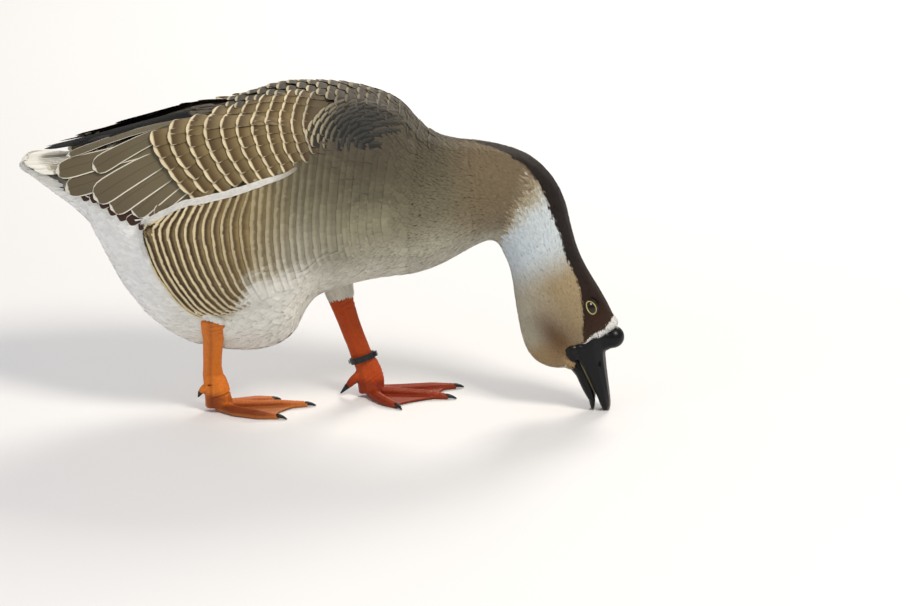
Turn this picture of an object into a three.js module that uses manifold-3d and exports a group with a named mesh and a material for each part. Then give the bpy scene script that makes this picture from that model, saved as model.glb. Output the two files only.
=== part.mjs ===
// Domestic goose, grazing with its bill at the ground. Millimetres, +Z up, facing +X, left side +Y.
// The floor is z = 0 and the origin is at the centre of the floor box.
import * as THREE from "three";
import { mergeVertices } from "three/addons/utils/BufferGeometryUtils.js";
import Module from "manifold-3d";

const wasm = await Module();
wasm.setup();

// Driving dimensions
const gap = 0.3; // between neighbouring pieces
const layerGap = 0.5; // between feather layers, whose facets don't match
const bodySides = 18; // facets round the trunk, neck and head
const toeLength = 98; // middle toe, heel to claw base
const toeThick = 6.6; // toe radius at the heel
const webThick = 2.2;
const webLift = 1.6; // underside of the web above the floor
const eyeRadius = 8.6;
const eyeShows = 2.4; // how far the eyeball stands out of the socket
const bandInner = 13.4;
const bandThick = 1.7;
const bandHeight = 7;

// Sections through the coat from the tail to the face, each with its point on the back [x, z], its
// point under the belly [x, z], the half width, and how high the widest level lies.
const stations = [
  { back: [-296, 297], belly: [-296, 262], half: 44, level: 0.3 }, // over the tail
  { back: [-272, 304], belly: [-272, 246], half: 60, level: 0.34 },
  { back: [-232, 315.5], belly: [-236, 215], half: 72, level: 0.45 }, // rump
  { back: [-180, 333], belly: [-207, 153], half: 89, level: 0.5 },
  { back: [-132, 347.5], belly: [-166, 100], half: 101, level: 0.53 }, // vent
  { back: [-94, 357.5], belly: [-120, 73.5], half: 107, level: 0.55 },
  { back: [-56, 369.5], belly: [-82, 66.5], half: 110, level: 0.56 },
  { back: [-24, 381], belly: [-50, 66], half: 111, level: 0.56 }, // paunch
  { back: [6, 383.5], belly: [-24, 73], half: 110, level: 0.56 },
  { back: [30, 383.5], belly: [-6, 87], half: 108, level: 0.55 },
  { back: [52, 382], belly: [4, 108], half: 106, level: 0.54 },
  { back: [74, 377], belly: [20, 133], half: 103, level: 0.52 },
  { back: [98, 369.5], belly: [62, 149], half: 97, level: 0.5 },
  { back: [118, 358], belly: [98, 157], half: 89, level: 0.49 }, // breast
  { back: [146, 329], belly: [134, 161.5], half: 75, level: 0.47 },
  { back: [174, 319], belly: [163, 172], half: 64, level: 0.46 },
  { back: [205, 316.5], belly: [191, 188], half: 55, level: 0.47 }, // neck base
  { back: [241, 309.5], belly: [213, 200], half: 48, level: 0.5 },
  { back: [270, 296], belly: [225, 200.5], half: 43.5, level: 0.52 },
  { back: [293, 271.5], belly: [230, 193.5], half: 40, level: 0.52 },
  { back: [305, 246], belly: [234, 184.5], half: 37, level: 0.52 },
  { back: [311, 220], belly: [240, 172], half: 34.5, level: 0.52 }, // upper neck
  { back: [318.5, 193], belly: [244, 155], half: 32.5, level: 0.52 },
  { back: [330, 168], belly: [246, 139], half: 31.5, level: 0.54 },
  { back: [344.5, 144], belly: [248.5, 122], half: 32, level: 0.55 }, // cheeks
  { back: [354, 127], belly: [252, 102], half: 31.5, level: 0.55 },
  { back: [359, 117], belly: [257, 80], half: 29.5, level: 0.52 }, // throat
  { back: [360.5, 113], belly: [268, 60], half: 25.5, level: 0.48 },
  { back: [360, 111], belly: [287, 49.5], half: 20, level: 0.44 },
  { back: [359, 109.5], belly: [307, 49], half: 16.5, level: 0.42 }, // face
];
const roundness = 2.15; // 2 is an ellipse, more is squarer

// Which stations each length of the body runs between
const lengths = {
  trunk: { from: 2, to: 11, rings: 15, color: 0x8d8676, holdsLegs: true },
  breast: { from: 11, to: 14, rings: 6, color: 0x9a907c, holdsLegs: true },
  neck_lower: { from: 14, to: 16.5, rings: 4, color: 0xa3947a },
  neck_middle: { from: 16.5, to: 19.5, rings: 5, color: 0xb8ad9a },
  neck_upper: { from: 19.5, to: 22.5, rings: 5, color: 0xd9d6ce },
  head: { from: 22.5, to: 29, rings: 11, color: 0x8c6f4e },
};

const white = 0xd9d6cc;
const brown = 0x6b5332;
const orange = 0xd9641e;
const black = 0x17150f;

// Helpers

function solidOf(geometry) {
  const plain = geometry.clone();
  for (const name of Object.keys(plain.attributes)) {
    if (name !== "position") plain.deleteAttribute(name);
  }
  const merged = mergeVertices(plain, 1e-4);
  return new wasm.Manifold(new wasm.Mesh({
    numProp: 3,
    vertProperties: new Float32Array(merged.attributes.position.array),
    triVerts: new Uint32Array(merged.index.array),
  }));
}

function geometryOf(solid) {
  const mesh = solid.getMesh();
  const geometry = new THREE.BufferGeometry();
  geometry.setAttribute("position", new THREE.BufferAttribute(mesh.vertProperties, 3));
  geometry.setIndex(new THREE.BufferAttribute(mesh.triVerts, 1));
  geometry.computeVertexNormals();
  return geometry;
}

// The biggest piece of a solid, without the slivers that a cut can leave
function mainPiece(solid) {
  return solid.decompose().sort((a, b) => b.volume() - a.volume())[0];
}

// Closed body from rings of points, with a fan on each end
function skinRings(rings) {
  const sides = rings[0].length;
  const points = rings.flat();
  const triangles = [];
  for (let i = 0; i + 1 < rings.length; i++) {
    for (let j = 0; j < sides; j++) {
      const a = i * sides + j;
      const b = i * sides + ((j + 1) % sides);
      triangles.push(a, b, b + sides, a, b + sides, a + sides);
    }
  }
  for (const [ring, flip] of [[0, true], [rings.length - 1, false]]) {
    const middle = new THREE.Vector3();
    rings[ring].forEach((point) => middle.addScaledVector(point, 1 / sides));
    const hub = points.push(middle) - 1;
    for (let j = 0; j < sides; j++) {
      const a = ring * sides + j;
      const b = ring * sides + ((j + 1) % sides);
      triangles.push(hub, flip ? b : a, flip ? a : b);
    }
  }
  return closedSolid(points, triangles);
}

// A solid with its faces turned outward, whichever way the loops ran
function closedSolid(points, triangles) {
  let volume = 0;
  for (let i = 0; i < triangles.length; i += 3) {
    const [a, b, c] = [0, 1, 2].map((k) => points[triangles[i + k]]);
    volume += a.dot(b.clone().cross(c));
  }
  if (volume < 0) {
    for (let i = 0; i < triangles.length; i += 3) {
      [triangles[i + 1], triangles[i + 2]] = [triangles[i + 2], triangles[i + 1]];
    }
  }
  const geometry = new THREE.BufferGeometry();
  const numbers = points.flatMap((p) => [p.x, p.y, p.z]);
  geometry.setAttribute("position", new THREE.Float32BufferAttribute(numbers, 3));
  geometry.setIndex(triangles);
  return solidOf(geometry);
}

// Catmull-Rom value at place u along a list of numbers
function spline(values, u) {
  const last = values.length - 1;
  const i = Math.min(Math.max(Math.floor(u), 0), last - 1);
  const t = u - i;
  const p1 = values[i];
  const p2 = values[i + 1];
  const p0 = i > 0 ? values[i - 1] : 2 * p1 - p2;
  const p3 = i + 2 <= last ? values[i + 2] : 2 * p2 - p1;
  const curve = 2 * p0 - 5 * p1 + 4 * p2 - p3;
  const twist = 3 * p1 - p0 - 3 * p2 + p3;
  return 0.5 * (2 * p1 + (p2 - p0) * t + curve * t * t + twist * t * t * t);
}

const mix = (a, b, t) => a + (b - a) * t;
const radians = THREE.MathUtils.degToRad;

// Point on a section: angle 0 is the back, 90 degrees the side, 180 degrees the belly
function sectionPoint({ back, belly, half, level }, angle, side, grow) {
  const depth = Math.hypot(back[0] - belly[0], back[1] - belly[1]);
  const up = Math.cos(angle);
  const out = Math.sin(angle);
  const power = 2 / roundness;
  const reach = (up > 0 ? 1 - level : level) * depth + grow;
  const rise = (level * depth + Math.sign(up) * reach * Math.abs(up) ** power) / depth;
  const y = side * (half + grow) * Math.abs(out) ** power * Math.sign(out);
  return new THREE.Vector3(mix(belly[0], back[0], rise), y, mix(belly[1], back[1], rise));
}

// Section of a list of stations at place u
function sectionAt(list, u) {
  const pick = (read) => spline(list.map(read), u);
  return {
    back: [pick((s) => s.back[0]), pick((s) => s.back[1])],
    belly: [pick((s) => s.belly[0]), pick((s) => s.belly[1])],
    half: pick((s) => s.half),
    level: pick((s) => s.level),
  };
}

function loft(list, from, to, rings, sides, grow = 0) {
  const loops = [];
  for (let i = 0; i <= rings; i++) {
    const section = sectionAt(list, mix(from, to, i / rings));
    const loop = [];
    for (let j = 0; j < sides; j++) {
      loop.push(sectionPoint(section, (2 * Math.PI * j) / sides, 1, grow));
    }
    loops.push(loop);
  }
  return skinRings(loops);
}

// Tube of oval sections along a path: each stop is [x, y, z, half along, half across]
function limb(stops, steps, sides, along = new THREE.Vector3(1, 0, 0), grow = 0) {
  const at = (u) => [0, 1, 2, 3, 4].map((k) => spline(stops.map((stop) => stop[k]), u));
  const loops = [];
  for (let i = 0; i <= steps; i++) {
    const u = ((stops.length - 1) * i) / steps;
    const [x, y, z, long, wide] = at(u);
    const ahead = new THREE.Vector3(...at(u + 0.02)).sub(new THREE.Vector3(...at(u - 0.02))).normalize();
    const across = ahead.clone().cross(along).normalize();
    const front = across.clone().cross(ahead).normalize();
    const shift = grow * (i === 0 ? -1 : i === steps ? 1 : 0);
    const loop = [];
    for (let j = 0; j < sides; j++) {
      const angle = (2 * Math.PI * j) / sides;
      loop.push(new THREE.Vector3(x, y, z)
        .addScaledVector(ahead, shift)
        .addScaledVector(front, (long + grow) * Math.cos(angle))
        .addScaledVector(across, (wide + grow) * Math.sin(angle)));
    }
    loops.push(loop);
  }
  return skinRings(loops);
}

function ball(x, y, z, rx, ry, rz, wide = 12, high = 8) {
  const sphere = new THREE.SphereGeometry(1, wide, high);
  sphere.scale(rx, ry, rz);
  sphere.translate(x, y, z);
  return solidOf(sphere);
}

const floorCut = solidOf(new THREE.BoxGeometry(1200, 600, 40).translate(0, 0, -20));
const onFloor = (solid) => solid.subtract(floorCut);

// Body lengths from rump to face

const bodyLength = ({ from, to, rings }, grow = 0) => {
  const trim = grow > 0 ? 0 : 0.003;
  return loft(stations, from + trim, to - trim, rings, bodySides, grow);
};

// Places on the coat: along the back by x, and on the side by x and z

function search(low, high, value, wanted) {
  for (let i = 0; i < 40; i++) {
    const middle = (low + high) / 2;
    if (value(middle) < wanted) low = middle;
    else high = middle;
  }
  return (low + high) / 2;
}

function onBack(x, degrees) {
  const u = search(0, 14, (v) => sectionAt(stations, v).back[0], x);
  return { u, angle: radians(degrees) };
}

function onSide(x, z) {
  const share = (section) => (z - section.belly[1]) / (section.back[1] - section.belly[1]);
  const u = search(0, 15, (v) => {
    const section = sectionAt(stations, v);
    return mix(section.belly[0], section.back[0], share(section));
  }, x);
  const section = sectionAt(stations, u);
  const level = section.level;
  const rise = share(section);
  const reach = rise > level ? 1 - level : level;
  const up = Math.min(1, Math.abs(rise - level) / reach) ** (roundness / 2);
  const angle = Math.acos(rise > level ? up : -up);
  return { u, angle };
}

const edgeAt = (edge, s) => {
  const u = (edge.length - 1) * s;
  return { u: spline(edge.map((p) => p.u), u), angle: spline(edge.map((p) => p.angle), u) };
};

// Layer of feathers on the coat between a top and a bottom edge, both running front to rear. The
// thickness is a function of s, front to rear, and t, top to bottom.
function layer({ top, bottom, thick, columns, rows }, side, grow = 0) {
  const sink = (s) => (grow > 0 ? 9 : mix(7, 0.8, s)); // inner face under the coat, for the trunk to trim
  const widen = grow * 0.012;
  const place = (i, j, lift) => {
    const s = i / columns;
    const t = mix(-widen, 1 + widen, j / rows);
    const upper = edgeAt(top, s);
    const lower = edgeAt(bottom, s);
    const beyond = i === 0 ? 2 * widen : i === columns ? -2 * widen : 0;
    const section = sectionAt(stations, mix(upper.u, lower.u, t) + beyond);
    return sectionPoint(section, mix(upper.angle, lower.angle, t), side, lift);
  };
  const points = [];
  for (const outer of [true, false]) {
    for (let i = 0; i <= columns; i++) {
      for (let j = 0; j <= rows; j++) {
        const depth = thick(i / columns, j / rows) + grow;
        points.push(place(i, j, outer ? depth : -sink(i / columns)));
      }
    }
  }
  const across = rows + 1;
  const sheet = (columns + 1) * across;
  const triangles = [];
  const quad = (a, b, c, d) => triangles.push(a, b, c, a, c, d);
  for (let i = 0; i < columns; i++) {
    for (let j = 0; j < rows; j++) {
      const a = i * across + j;
      quad(a, a + across, a + across + 1, a + 1);
      quad(sheet + a, sheet + a + 1, sheet + a + across + 1, sheet + a + across);
    }
  }
  for (let i = 0; i < columns; i++) {
    const low = i * across;
    const high = low + rows;
    quad(low, sheet + low, sheet + low + across, low + across);
    quad(high, high + across, sheet + high + across, sheet + high);
  }
  for (let j = 0; j < rows; j++) {
    const near = j;
    const far = columns * across + j;
    quad(near, near + 1, sheet + near + 1, sheet + near);
    quad(far, sheet + far, sheet + far + 1, far + 1);
  }
  return closedSolid(points, triangles);
}

const hump = (x) => Math.sin(Math.PI * Math.min(Math.max(x, 0), 1));

// Shoulder and wing coverts, from the wrist to their stepped rear edge
const coverts = {
  top: [onBack(52, 56), onBack(8, 44), onBack(-44, 33), onBack(-100, 22), onBack(-158, 15)],
  bottom: [onSide(34, 324), onSide(0, 303), onSide(-50, 283), onSide(-86, 276), onSide(-117, 266)],
  thick: (s, t) => 2.2 + 6 * hump(0.12 + 0.8 * t) * hump(0.15 + 0.7 * s) + 1.6 * s,
  columns: 8,
  rows: 5,
};

// Tertials and secondaries, lying back over the rump to their rounded tips
const scallop = (s, count) => Math.abs(Math.sin(Math.PI * count * s));
const tertials = {
  top: [onBack(-128, 17), onBack(-180, 15), onBack(-232, 17), onBack(-281, 24)],
  bottom: [onSide(-92, 271), onSide(-166, 240), onSide(-212, 252), onSide(-258, 268)],
  thick: (s, t) => 1.6 + 3.6 * hump(0.3 + 0.5 * t) * (1 - 0.55 * s) + 0.9 * scallop(t, 3) * s,
  columns: 7,
  rows: 6,
};

// Primaries, folded along the back under the tertials with their tips over the tail
const primaries = {
  top: [onBack(-96, 2), onBack(-160, 1.5), onBack(-230, 2), onBack(-293, 5)],
  bottom: [onBack(-104, 24), onBack(-160, 22), onBack(-228, 22), onBack(-284, 30)],
  thick: (s, t) => 2 + 2.6 * hump(0.25 + 0.5 * s) * hump(0.3 + 0.4 * t),
  columns: 7,
  rows: 2,
};

// Long flank feathers, which hold the folded wing's lower edge
const flank = {
  top: [
    onSide(70, 300), onSide(28, 322), onSide(0, 302),
    onSide(-50, 282.5), onSide(-109, 268), onSide(-164, 241),
  ],
  bottom: [
    onSide(66, 206), onSide(24, 192), onSide(-30, 157),
    onSide(-84, 131), onSide(-128, 138), onSide(-166, 178),
  ],
  thick: (s, t) => 2.6 + 4.8 * s * hump(0.25 + 0.62 * t) + 1.5 * s * (1 - t),
  columns: 7,
  rows: 4,
};

// Tail: a fan of quills over the wedge of white coverts below it
const tailStations = [
  { back: [-233.6, 298], belly: [-236.8, 213.5], half: 51, level: 0.5 },
  { back: [-252, 294], belly: [-255, 232.5], half: 52, level: 0.58 },
  { back: [-272, 291.5], belly: [-274, 247.5], half: 53, level: 0.68 },
  { back: [-293, 289.5], belly: [-293, 263.5], half: 49, level: 0.76 },
  { back: [-309, 288.5], belly: [-309, 276], half: 39, level: 0.8 },
  { back: [-319, 287], belly: [-319, 283], half: 20, level: 0.6 },
];

// Bill

const upperBill = [
  { back: [357.5, 107], belly: [304.5, 73], half: 21, level: 0.22 },
  { back: [352.5, 88], belly: [314, 65.5], half: 21.5, level: 0.2 },
  { back: [351.6, 70], belly: [321.5, 58.5], half: 19.5, level: 0.2 },
  { back: [353, 52], belly: [329.5, 45], half: 17, level: 0.18 },
  { back: [355, 36], belly: [335.5, 33], half: 15.5, level: 0.18 },
  { back: [357, 20], belly: [341.5, 20], half: 14.8, level: 0.2 },
  { back: [358, 8], belly: [346, 9], half: 12, level: 0.25 },
  { back: [356.5, -0.6], belly: [349.5, 0.6], half: 7, level: 0.4 },
];

const lowerBill = [
  { back: [307.5, 69.5], belly: [304.5, 57], half: 19, level: 0.75 },
  { back: [320, 57.5], belly: [314.5, 47], half: 17.5, level: 0.78 },
  { back: [328.5, 43], belly: [321.4, 36.5], half: 14.5, level: 0.8 },
  { back: [335.5, 27], belly: [328.4, 24], half: 13, level: 0.78 },
  { back: [339.4, 12.5], belly: [333.6, 12], half: 11, level: 0.7 },
  { back: [339.2, 2], belly: [336, 2], half: 6, level: 0.5 },
];

const knobAt = { x: 357, z: 90.5, forward: 14.8, wide: 13, high: 14.2 };
const nostrilAt = { x: 345, y: 13.4, z: 57, long: 2.6, deep: 3, high: 6 };

const upperMandible = (grow) => loft(upperBill, 0, upperBill.length - 1, 9, 12, grow);
const lowerMandible = (grow) => loft(lowerBill, 0, lowerBill.length - 1, 7, 12, grow);

// Eyes, each a whole ball set in the side of the head

const eyeAt = { x: 335.6, z: 128.2 };

// Half width of the head at a point seen from the side
function halfWidthOfHead(x, z) {
  const offLine = (u) => {
    const { back, belly } = sectionAt(stations, u);
    const [dx, dz] = [back[0] - belly[0], back[1] - belly[1]];
    return (dx * (z - belly[1]) - dz * (x - belly[0])) / Math.hypot(dx, dz);
  };
  const { from, to } = lengths.head;
  const { back, belly, half, level } = sectionAt(stations, search(from, to - 3, offLine, 0));
  const rise = (x - belly[0]) / (back[0] - belly[0]);
  const off = Math.abs((rise - level) / (rise > level ? 1 - level : level)) ** roundness;
  return half * Math.max(0, 1 - off) ** (1 / roundness);
}

const eyeMiddle = halfWidthOfHead(eyeAt.x, eyeAt.z) - eyeRadius + eyeShows;

function eyeball(side, grow) {
  const radius = eyeRadius + grow;
  return ball(eyeAt.x, side * eyeMiddle, eyeAt.z, radius, radius, radius, 12, 7);
}

// Legs and feet

const legs = {
  right: {
    side: -1,
    turn: 12, // toes point this far towards the middle plane
    thigh: [[-78, -52, 186, 32, 27], [-88, -46, 140, 25, 22], [-96, -38, 101, 15.5, 12.5]],
    shank: [[-97, -37.5, 107, 12, 9.5], [-98.5, -37, 80, 10.6, 7.4], [-98.5, -36, 56, 9.8, 7],
      [-96.5, -36, 34, 12.4, 8.8]],
    ankle: [[-96, -35.5, 33, 12.8, 9], [-93, -34, 20, 15, 10.5], [-91, -33, 7, 16.5, 12.5]],
    heel: [-91, -33],
    toes: {
      inner: { degrees: 22, share: 0.72, bow: 0 },
      middle: { degrees: 0, share: 1.04, bow: 2 },
      outer: { degrees: -34, share: 0.79, bow: 11 },
    },
    hindToe: [[-102, -36, 30, 6.4], [-109, -35, 26, 4.6], [-112.5, -34.5, 22, 3.4], [-115.5, -34, 16, 0.9]],
  },
  left: {
    side: 1,
    turn: 0,
    thigh: [[8, 50, 196, 34, 28], [28, 44, 150, 26, 22], [44, 39, 111, 15.5, 12.5]],
    shank: [[43, 38, 118, 13.4, 9.5], [52, 37, 90, 11.6, 7.4], [61.5, 36, 66, 11, 7],
      [70.5, 35, 41, 11.6, 8], [73.5, 34.7, 34, 12.4, 8.8]],
    ankle: [[73.8, 34.7, 33, 12.6, 9], [77, 34.3, 20, 14.4, 10.5], [80, 34, 7, 15.5, 12.5]],
    heel: [80, 34],
    toes: {
      inner: { degrees: 55, share: 0.58, bow: 6 },
      middle: { degrees: 4, share: 0.91, bow: 0 },
      outer: { degrees: -21, share: 1.04, bow: 0 },
    },
    hindToe: [[67, 34, 27, 6.4], [57, 33, 18, 5], [52, 32.5, 12.5, 3.8], [43.5, 31.5, 3.5, 0.9]],
  },
};

// Direction of a toe on the floor, swung towards the middle plane by degrees
function toeAhead(leg, degrees) {
  const angle = -leg.side * radians(degrees + leg.turn);
  return new THREE.Vector3(Math.cos(angle), Math.sin(angle), 0);
}

// Stop on a toe's path, which bows sideways from the straight line to its claw
function toeStop(leg, { degrees, share, bow }, along, z, radius) {
  const ahead = toeAhead(leg, degrees);
  const aside = bow * Math.sin(Math.PI * Math.min(along / (toeLength * share), 1));
  const x = leg.heel[0] + ahead.x * along + ahead.y * aside;
  const y = leg.heel[1] + ahead.y * along - ahead.x * aside;
  return [x, y, z, radius, radius * 1.08];
}

const upright = new THREE.Vector3(0, 0, 1);

function toe(leg, ray) {
  const reach = toeLength * ray.share;
  const stops = [
    toeStop(leg, ray, 0, 6.2, toeThick + 1),
    toeStop(leg, ray, reach * 0.35, 5.2, toeThick),
    toeStop(leg, ray, reach * 0.7, 4.6, toeThick - 0.8),
    toeStop(leg, ray, reach, 3, 3.6),
  ];
  return limb(stops, 3, 6, upright);
}

function claw(leg, ray, grow = 0) {
  const start = toeLength * ray.share - 3;
  const stops = [
    toeStop(leg, ray, start, 3.8, 3),
    toeStop(leg, ray, start + 6, 3.5, 2.4),
    toeStop(leg, ray, start + 13, 1, 0.8),
  ];
  return onFloor(limb(stops, 3, 6, upright, grow));
}

// The hind toe runs between stops of its path: 0 to 2 is the toe, 2 to 3 its claw
function hindToe(leg, first, last, grow = 0) {
  const stops = leg.hindToe.slice(first, last + 1).map(([x, y, z, radius]) => [x, y, z, radius, radius]);
  return onFloor(limb(stops, 2, 6, upright, grow));
}

// Web between two toes, along their bows, with its front edge drawn back in an arc
function web(leg, first, second) {
  const along = (ray, share) => {
    const [x, y] = toeStop(leg, ray, 0.93 * toeLength * ray.share * share, 0, 0);
    return new THREE.Vector2(x, y);
  };
  const heel = new THREE.Vector2(leg.heel[0], leg.heel[1]);
  const [a, b] = [along(first, 1), along(second, 1)];
  const dip = a.clone().add(b).sub(heel).sub(heel).multiplyScalar(0.41).add(heel);
  const outline = new THREE.Shape();
  outline.moveTo(heel.x - 4, heel.y);
  outline.lineTo(along(first, 0.5).x, along(first, 0.5).y);
  outline.lineTo(a.x, a.y);
  outline.quadraticCurveTo(dip.x, dip.y, b.x, b.y);
  outline.lineTo(along(second, 0.5).x, along(second, 0.5).y);
  outline.closePath();
  const plate = new THREE.ExtrudeGeometry(outline, {
    depth: webThick,
    bevelEnabled: false,
    curveSegments: 4,
  });
  plate.translate(0, 0, webLift);
  return solidOf(plate);
}

const thigh = (leg, grow = 0) => limb(leg.thigh, 3, 10, undefined, grow);
const shank = (leg, grow = 0) => limb(leg.shank, 6, 10, undefined, grow);

function foot(leg) {
  const rays = Object.values(leg.toes);
  const [inner, middle, outer] = rays;
  let solid = limb(leg.ankle, 2, 10);
  for (const ray of rays) solid = solid.add(toe(leg, ray));
  solid = solid.add(web(leg, inner, middle)).add(web(leg, middle, outer));
  solid = solid.add(hindToe(leg, 0, 2));
  for (const ray of rays) solid = solid.subtract(claw(leg, ray, gap));
  solid = solid.subtract(hindToe(leg, 2, 3, gap));
  return onFloor(solid).subtract(shank(leg, gap));
}

// Ring round the left shank, nearly square to it, with a clasp in front and a stud behind
const bandAt = { x: 69, y: 35.3, z: 46, lean: 20, roll: -7 };
const clasp = { deep: 3.4, wide: 7, high: bandHeight - 1.6 };
const stud = { radius: 2.2, deep: 1.6 };

function placeBand(solid) {
  return solid.rotate([bandAt.roll, -bandAt.lean, 0]).translate([bandAt.x, bandAt.y, bandAt.z]);
}

function legBand() {
  const outer = bandInner + bandThick;
  const corners = [[bandInner, -1], [outer, -1], [outer, 1], [bandInner, 1], [bandInner, -1]];
  const profile = corners.map(([radius, end]) => new THREE.Vector2(radius, (end * bandHeight) / 2));
  const ring = new THREE.LatheGeometry(profile, 20).rotateX(Math.PI / 2);
  const lug = new THREE.BoxGeometry(clasp.deep, clasp.wide, clasp.high).translate(outer + 0.9, 0, 0);
  return placeBand(solidOf(ring).add(solidOf(lug)));
}

function bandStud() {
  const pin = new THREE.CylinderGeometry(stud.radius, stud.radius, stud.deep, 12).rotateZ(Math.PI / 2);
  pin.translate(-(bandInner + bandThick + gap + stud.deep / 2), 0, 0);
  return placeBand(solidOf(pin));
}

// Assembly

const goose = new THREE.Group();

function put(name, solid, color, roughness = 0.8) {
  const material = new THREE.MeshStandardMaterial({ color, roughness, metalness: 0 });
  const mesh = new THREE.Mesh(geometryOf(mainPiece(solid)), material);
  mesh.name = name;
  goose.add(mesh);
}

function putBody() {
  for (const [name, length] of Object.entries(lengths)) {
    let solid = bodyLength(length);
    for (const leg of Object.values(legs)) {
      if (length.holdsLegs) solid = solid.subtract(thigh(leg, gap)).subtract(shank(leg, gap));
      if (name === "head") solid = solid.subtract(eyeball(leg.side, gap));
    }
    if (name === "head") solid = solid.subtract(upperMandible(gap)).subtract(lowerMandible(gap));
    put(name, solid, length.color);
  }
}

function putBill() {
  const nostril = (side) => (
    ball(nostrilAt.x, side * nostrilAt.y, nostrilAt.z, nostrilAt.long, nostrilAt.deep, nostrilAt.high, 6, 5));
  const upper = onFloor(upperMandible(0)).subtract(nostril(-1)).subtract(nostril(1));
  const knob = ball(knobAt.x, 0, knobAt.z, knobAt.forward, knobAt.wide, knobAt.high);
  put("bill_upper", upper, black, 0.35);
  put("bill_lower", onFloor(lowerMandible(0)).subtract(upperMandible(gap)), black, 0.35);
  put("bill_knob", knob.subtract(bodyLength(lengths.head, gap)).subtract(upperMandible(gap)), black, 0.35);
}

const trunkGrown = bodyLength(lengths.trunk, gap).add(bodyLength(lengths.breast, gap));

function putWing(name, side) {
  const covertsGrown = layer(coverts, side, layerGap);
  const tertialsGrown = layer(tertials, side, layerGap);
  const cut = (shape, covers) => covers.reduce(
    (solid, cover) => solid.subtract(cover),
    layer(shape, side).subtract(trunkGrown),
  );
  put(`wing_${name}`, cut(coverts, []), brown);
  put(`tertials_${name}`, cut(tertials, [covertsGrown]), 0x6d624c);
  put(`primaries_${name}`, cut(primaries, [covertsGrown, tertialsGrown]), black);
  put(`flank_${name}`, cut(flank, [covertsGrown, tertialsGrown]), 0x7d6444);
}

function putLeg(name, leg) {
  put(`thigh_${name}`, thigh(leg), white);
  put(`shank_${name}`, shank(leg).subtract(thigh(leg, gap)), orange, 0.6);
  put(`foot_${name}`, foot(leg), orange, 0.6);
  for (const [ray, shape] of Object.entries(leg.toes)) {
    put(`claw_${name}_${ray}`, claw(leg, shape), black, 0.4);
  }
  put(`claw_${name}_hind`, hindToe(leg, 2, 3), black, 0.4);
}

function putTail() {
  const fan = loft(tailStations, 0, tailStations.length - 1, 8, 16);
  const clear = (solid, side) => solid.subtract(layer(tertials, side, layerGap));
  put("tail", [-1, 1].reduce(clear, fan), white);
}

putBody();
putBill();
for (const [name, leg] of Object.entries(legs)) {
  put(`eye_${name}`, eyeball(leg.side, 0), 0x241408, 0.1);
  putWing(name, leg.side);
  putLeg(name, leg);
}
putTail();
put("leg_band", legBand(), black, 0.5);
put("leg_band_stud", bandStud(), 0x777777, 0.4);

const box = new THREE.Box3().setFromObject(goose);
const middle = box.getCenter(new THREE.Vector3());
goose.position.set(-middle.x, -middle.y, -box.min.z);

export default goose;
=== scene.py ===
import math

import bpy
import numpy as np
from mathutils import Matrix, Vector
from mathutils.bvhtree import BVHTree
from mathutils.kdtree import KDTree


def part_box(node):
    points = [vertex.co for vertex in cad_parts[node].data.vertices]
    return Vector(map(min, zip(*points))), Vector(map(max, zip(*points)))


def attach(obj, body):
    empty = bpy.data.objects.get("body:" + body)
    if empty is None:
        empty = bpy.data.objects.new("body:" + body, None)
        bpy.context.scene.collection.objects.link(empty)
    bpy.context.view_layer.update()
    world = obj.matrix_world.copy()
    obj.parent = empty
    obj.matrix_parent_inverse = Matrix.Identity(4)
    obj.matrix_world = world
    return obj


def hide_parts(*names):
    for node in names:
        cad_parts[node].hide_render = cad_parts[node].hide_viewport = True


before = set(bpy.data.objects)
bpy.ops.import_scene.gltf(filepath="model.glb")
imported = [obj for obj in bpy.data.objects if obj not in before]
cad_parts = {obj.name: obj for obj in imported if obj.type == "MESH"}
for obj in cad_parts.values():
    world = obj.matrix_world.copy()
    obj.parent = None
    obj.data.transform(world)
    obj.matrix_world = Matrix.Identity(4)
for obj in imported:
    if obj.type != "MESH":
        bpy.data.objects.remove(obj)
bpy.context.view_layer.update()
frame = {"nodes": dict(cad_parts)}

scene = bpy.context.scene
scene.view_settings.view_transform = "Standard"
mm = 0.001
chance = np.random.default_rng(41)
sides = {"right": -1, "left": 1}


def report(stage):
    print("goose:", stage)


def bothSides(*parts):
    return [f"{part}_{side}" for part in parts for side in sides]


def toLinear(code):
    parts = [int(code[i:i + 2], 16) / 255 for i in (1, 3, 5)]
    return tuple(p / 12.92 if p <= 0.04045 else ((p + 0.055) / 1.055) ** 2.4 for p in parts)


# camera, floor and lights

shot = {
    "target": (0.1515, 0.0109, 0.1208),  # metres, in the middle of the view
    "yaw": 3.5,  # degrees, turned towards the tail
    "drop": 16,  # degrees, looking down
    "distance": 6.0,
    "lens": 206.4,
    "sensor": 36.0,
}


def makeCamera():
    yaw, drop = math.radians(shot["yaw"]), math.radians(shot["drop"])
    ahead = Vector((
        -math.sin(yaw) * math.cos(drop),
        math.cos(yaw) * math.cos(drop),
        -math.sin(drop),
    ))
    data = bpy.data.cameras.new("camera")
    data.lens = shot["lens"]
    data.sensor_width = shot["sensor"]
    data.clip_end = 50
    camera = bpy.data.objects.new("camera", data)
    camera.location = Vector(shot["target"]) - ahead * shot["distance"]
    camera.rotation_euler = ahead.to_track_quat("-Z", "Y").to_euler()
    scene.collection.objects.link(camera)
    scene.camera = camera


studio = {
    "floor": "#e2e3e6",
    "floorSize": 40.0,
    "world": "#eef0f4",
    "worldStrength": 0.5,
    "lamps": {
        "key": {"at": (1.9, -2.0, 3.2), "size": 1.2, "power": 120, "color": "#fff5e6"},
        "fill": {"at": (-3.0, -3.0, 1.4), "size": 3.0, "power": 26, "color": "#e2ebff"},
        "rim": {"at": (0.9, 3.0, 2.4), "size": 1.4, "power": 90, "color": "#fff6e8"},
    },
}


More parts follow.
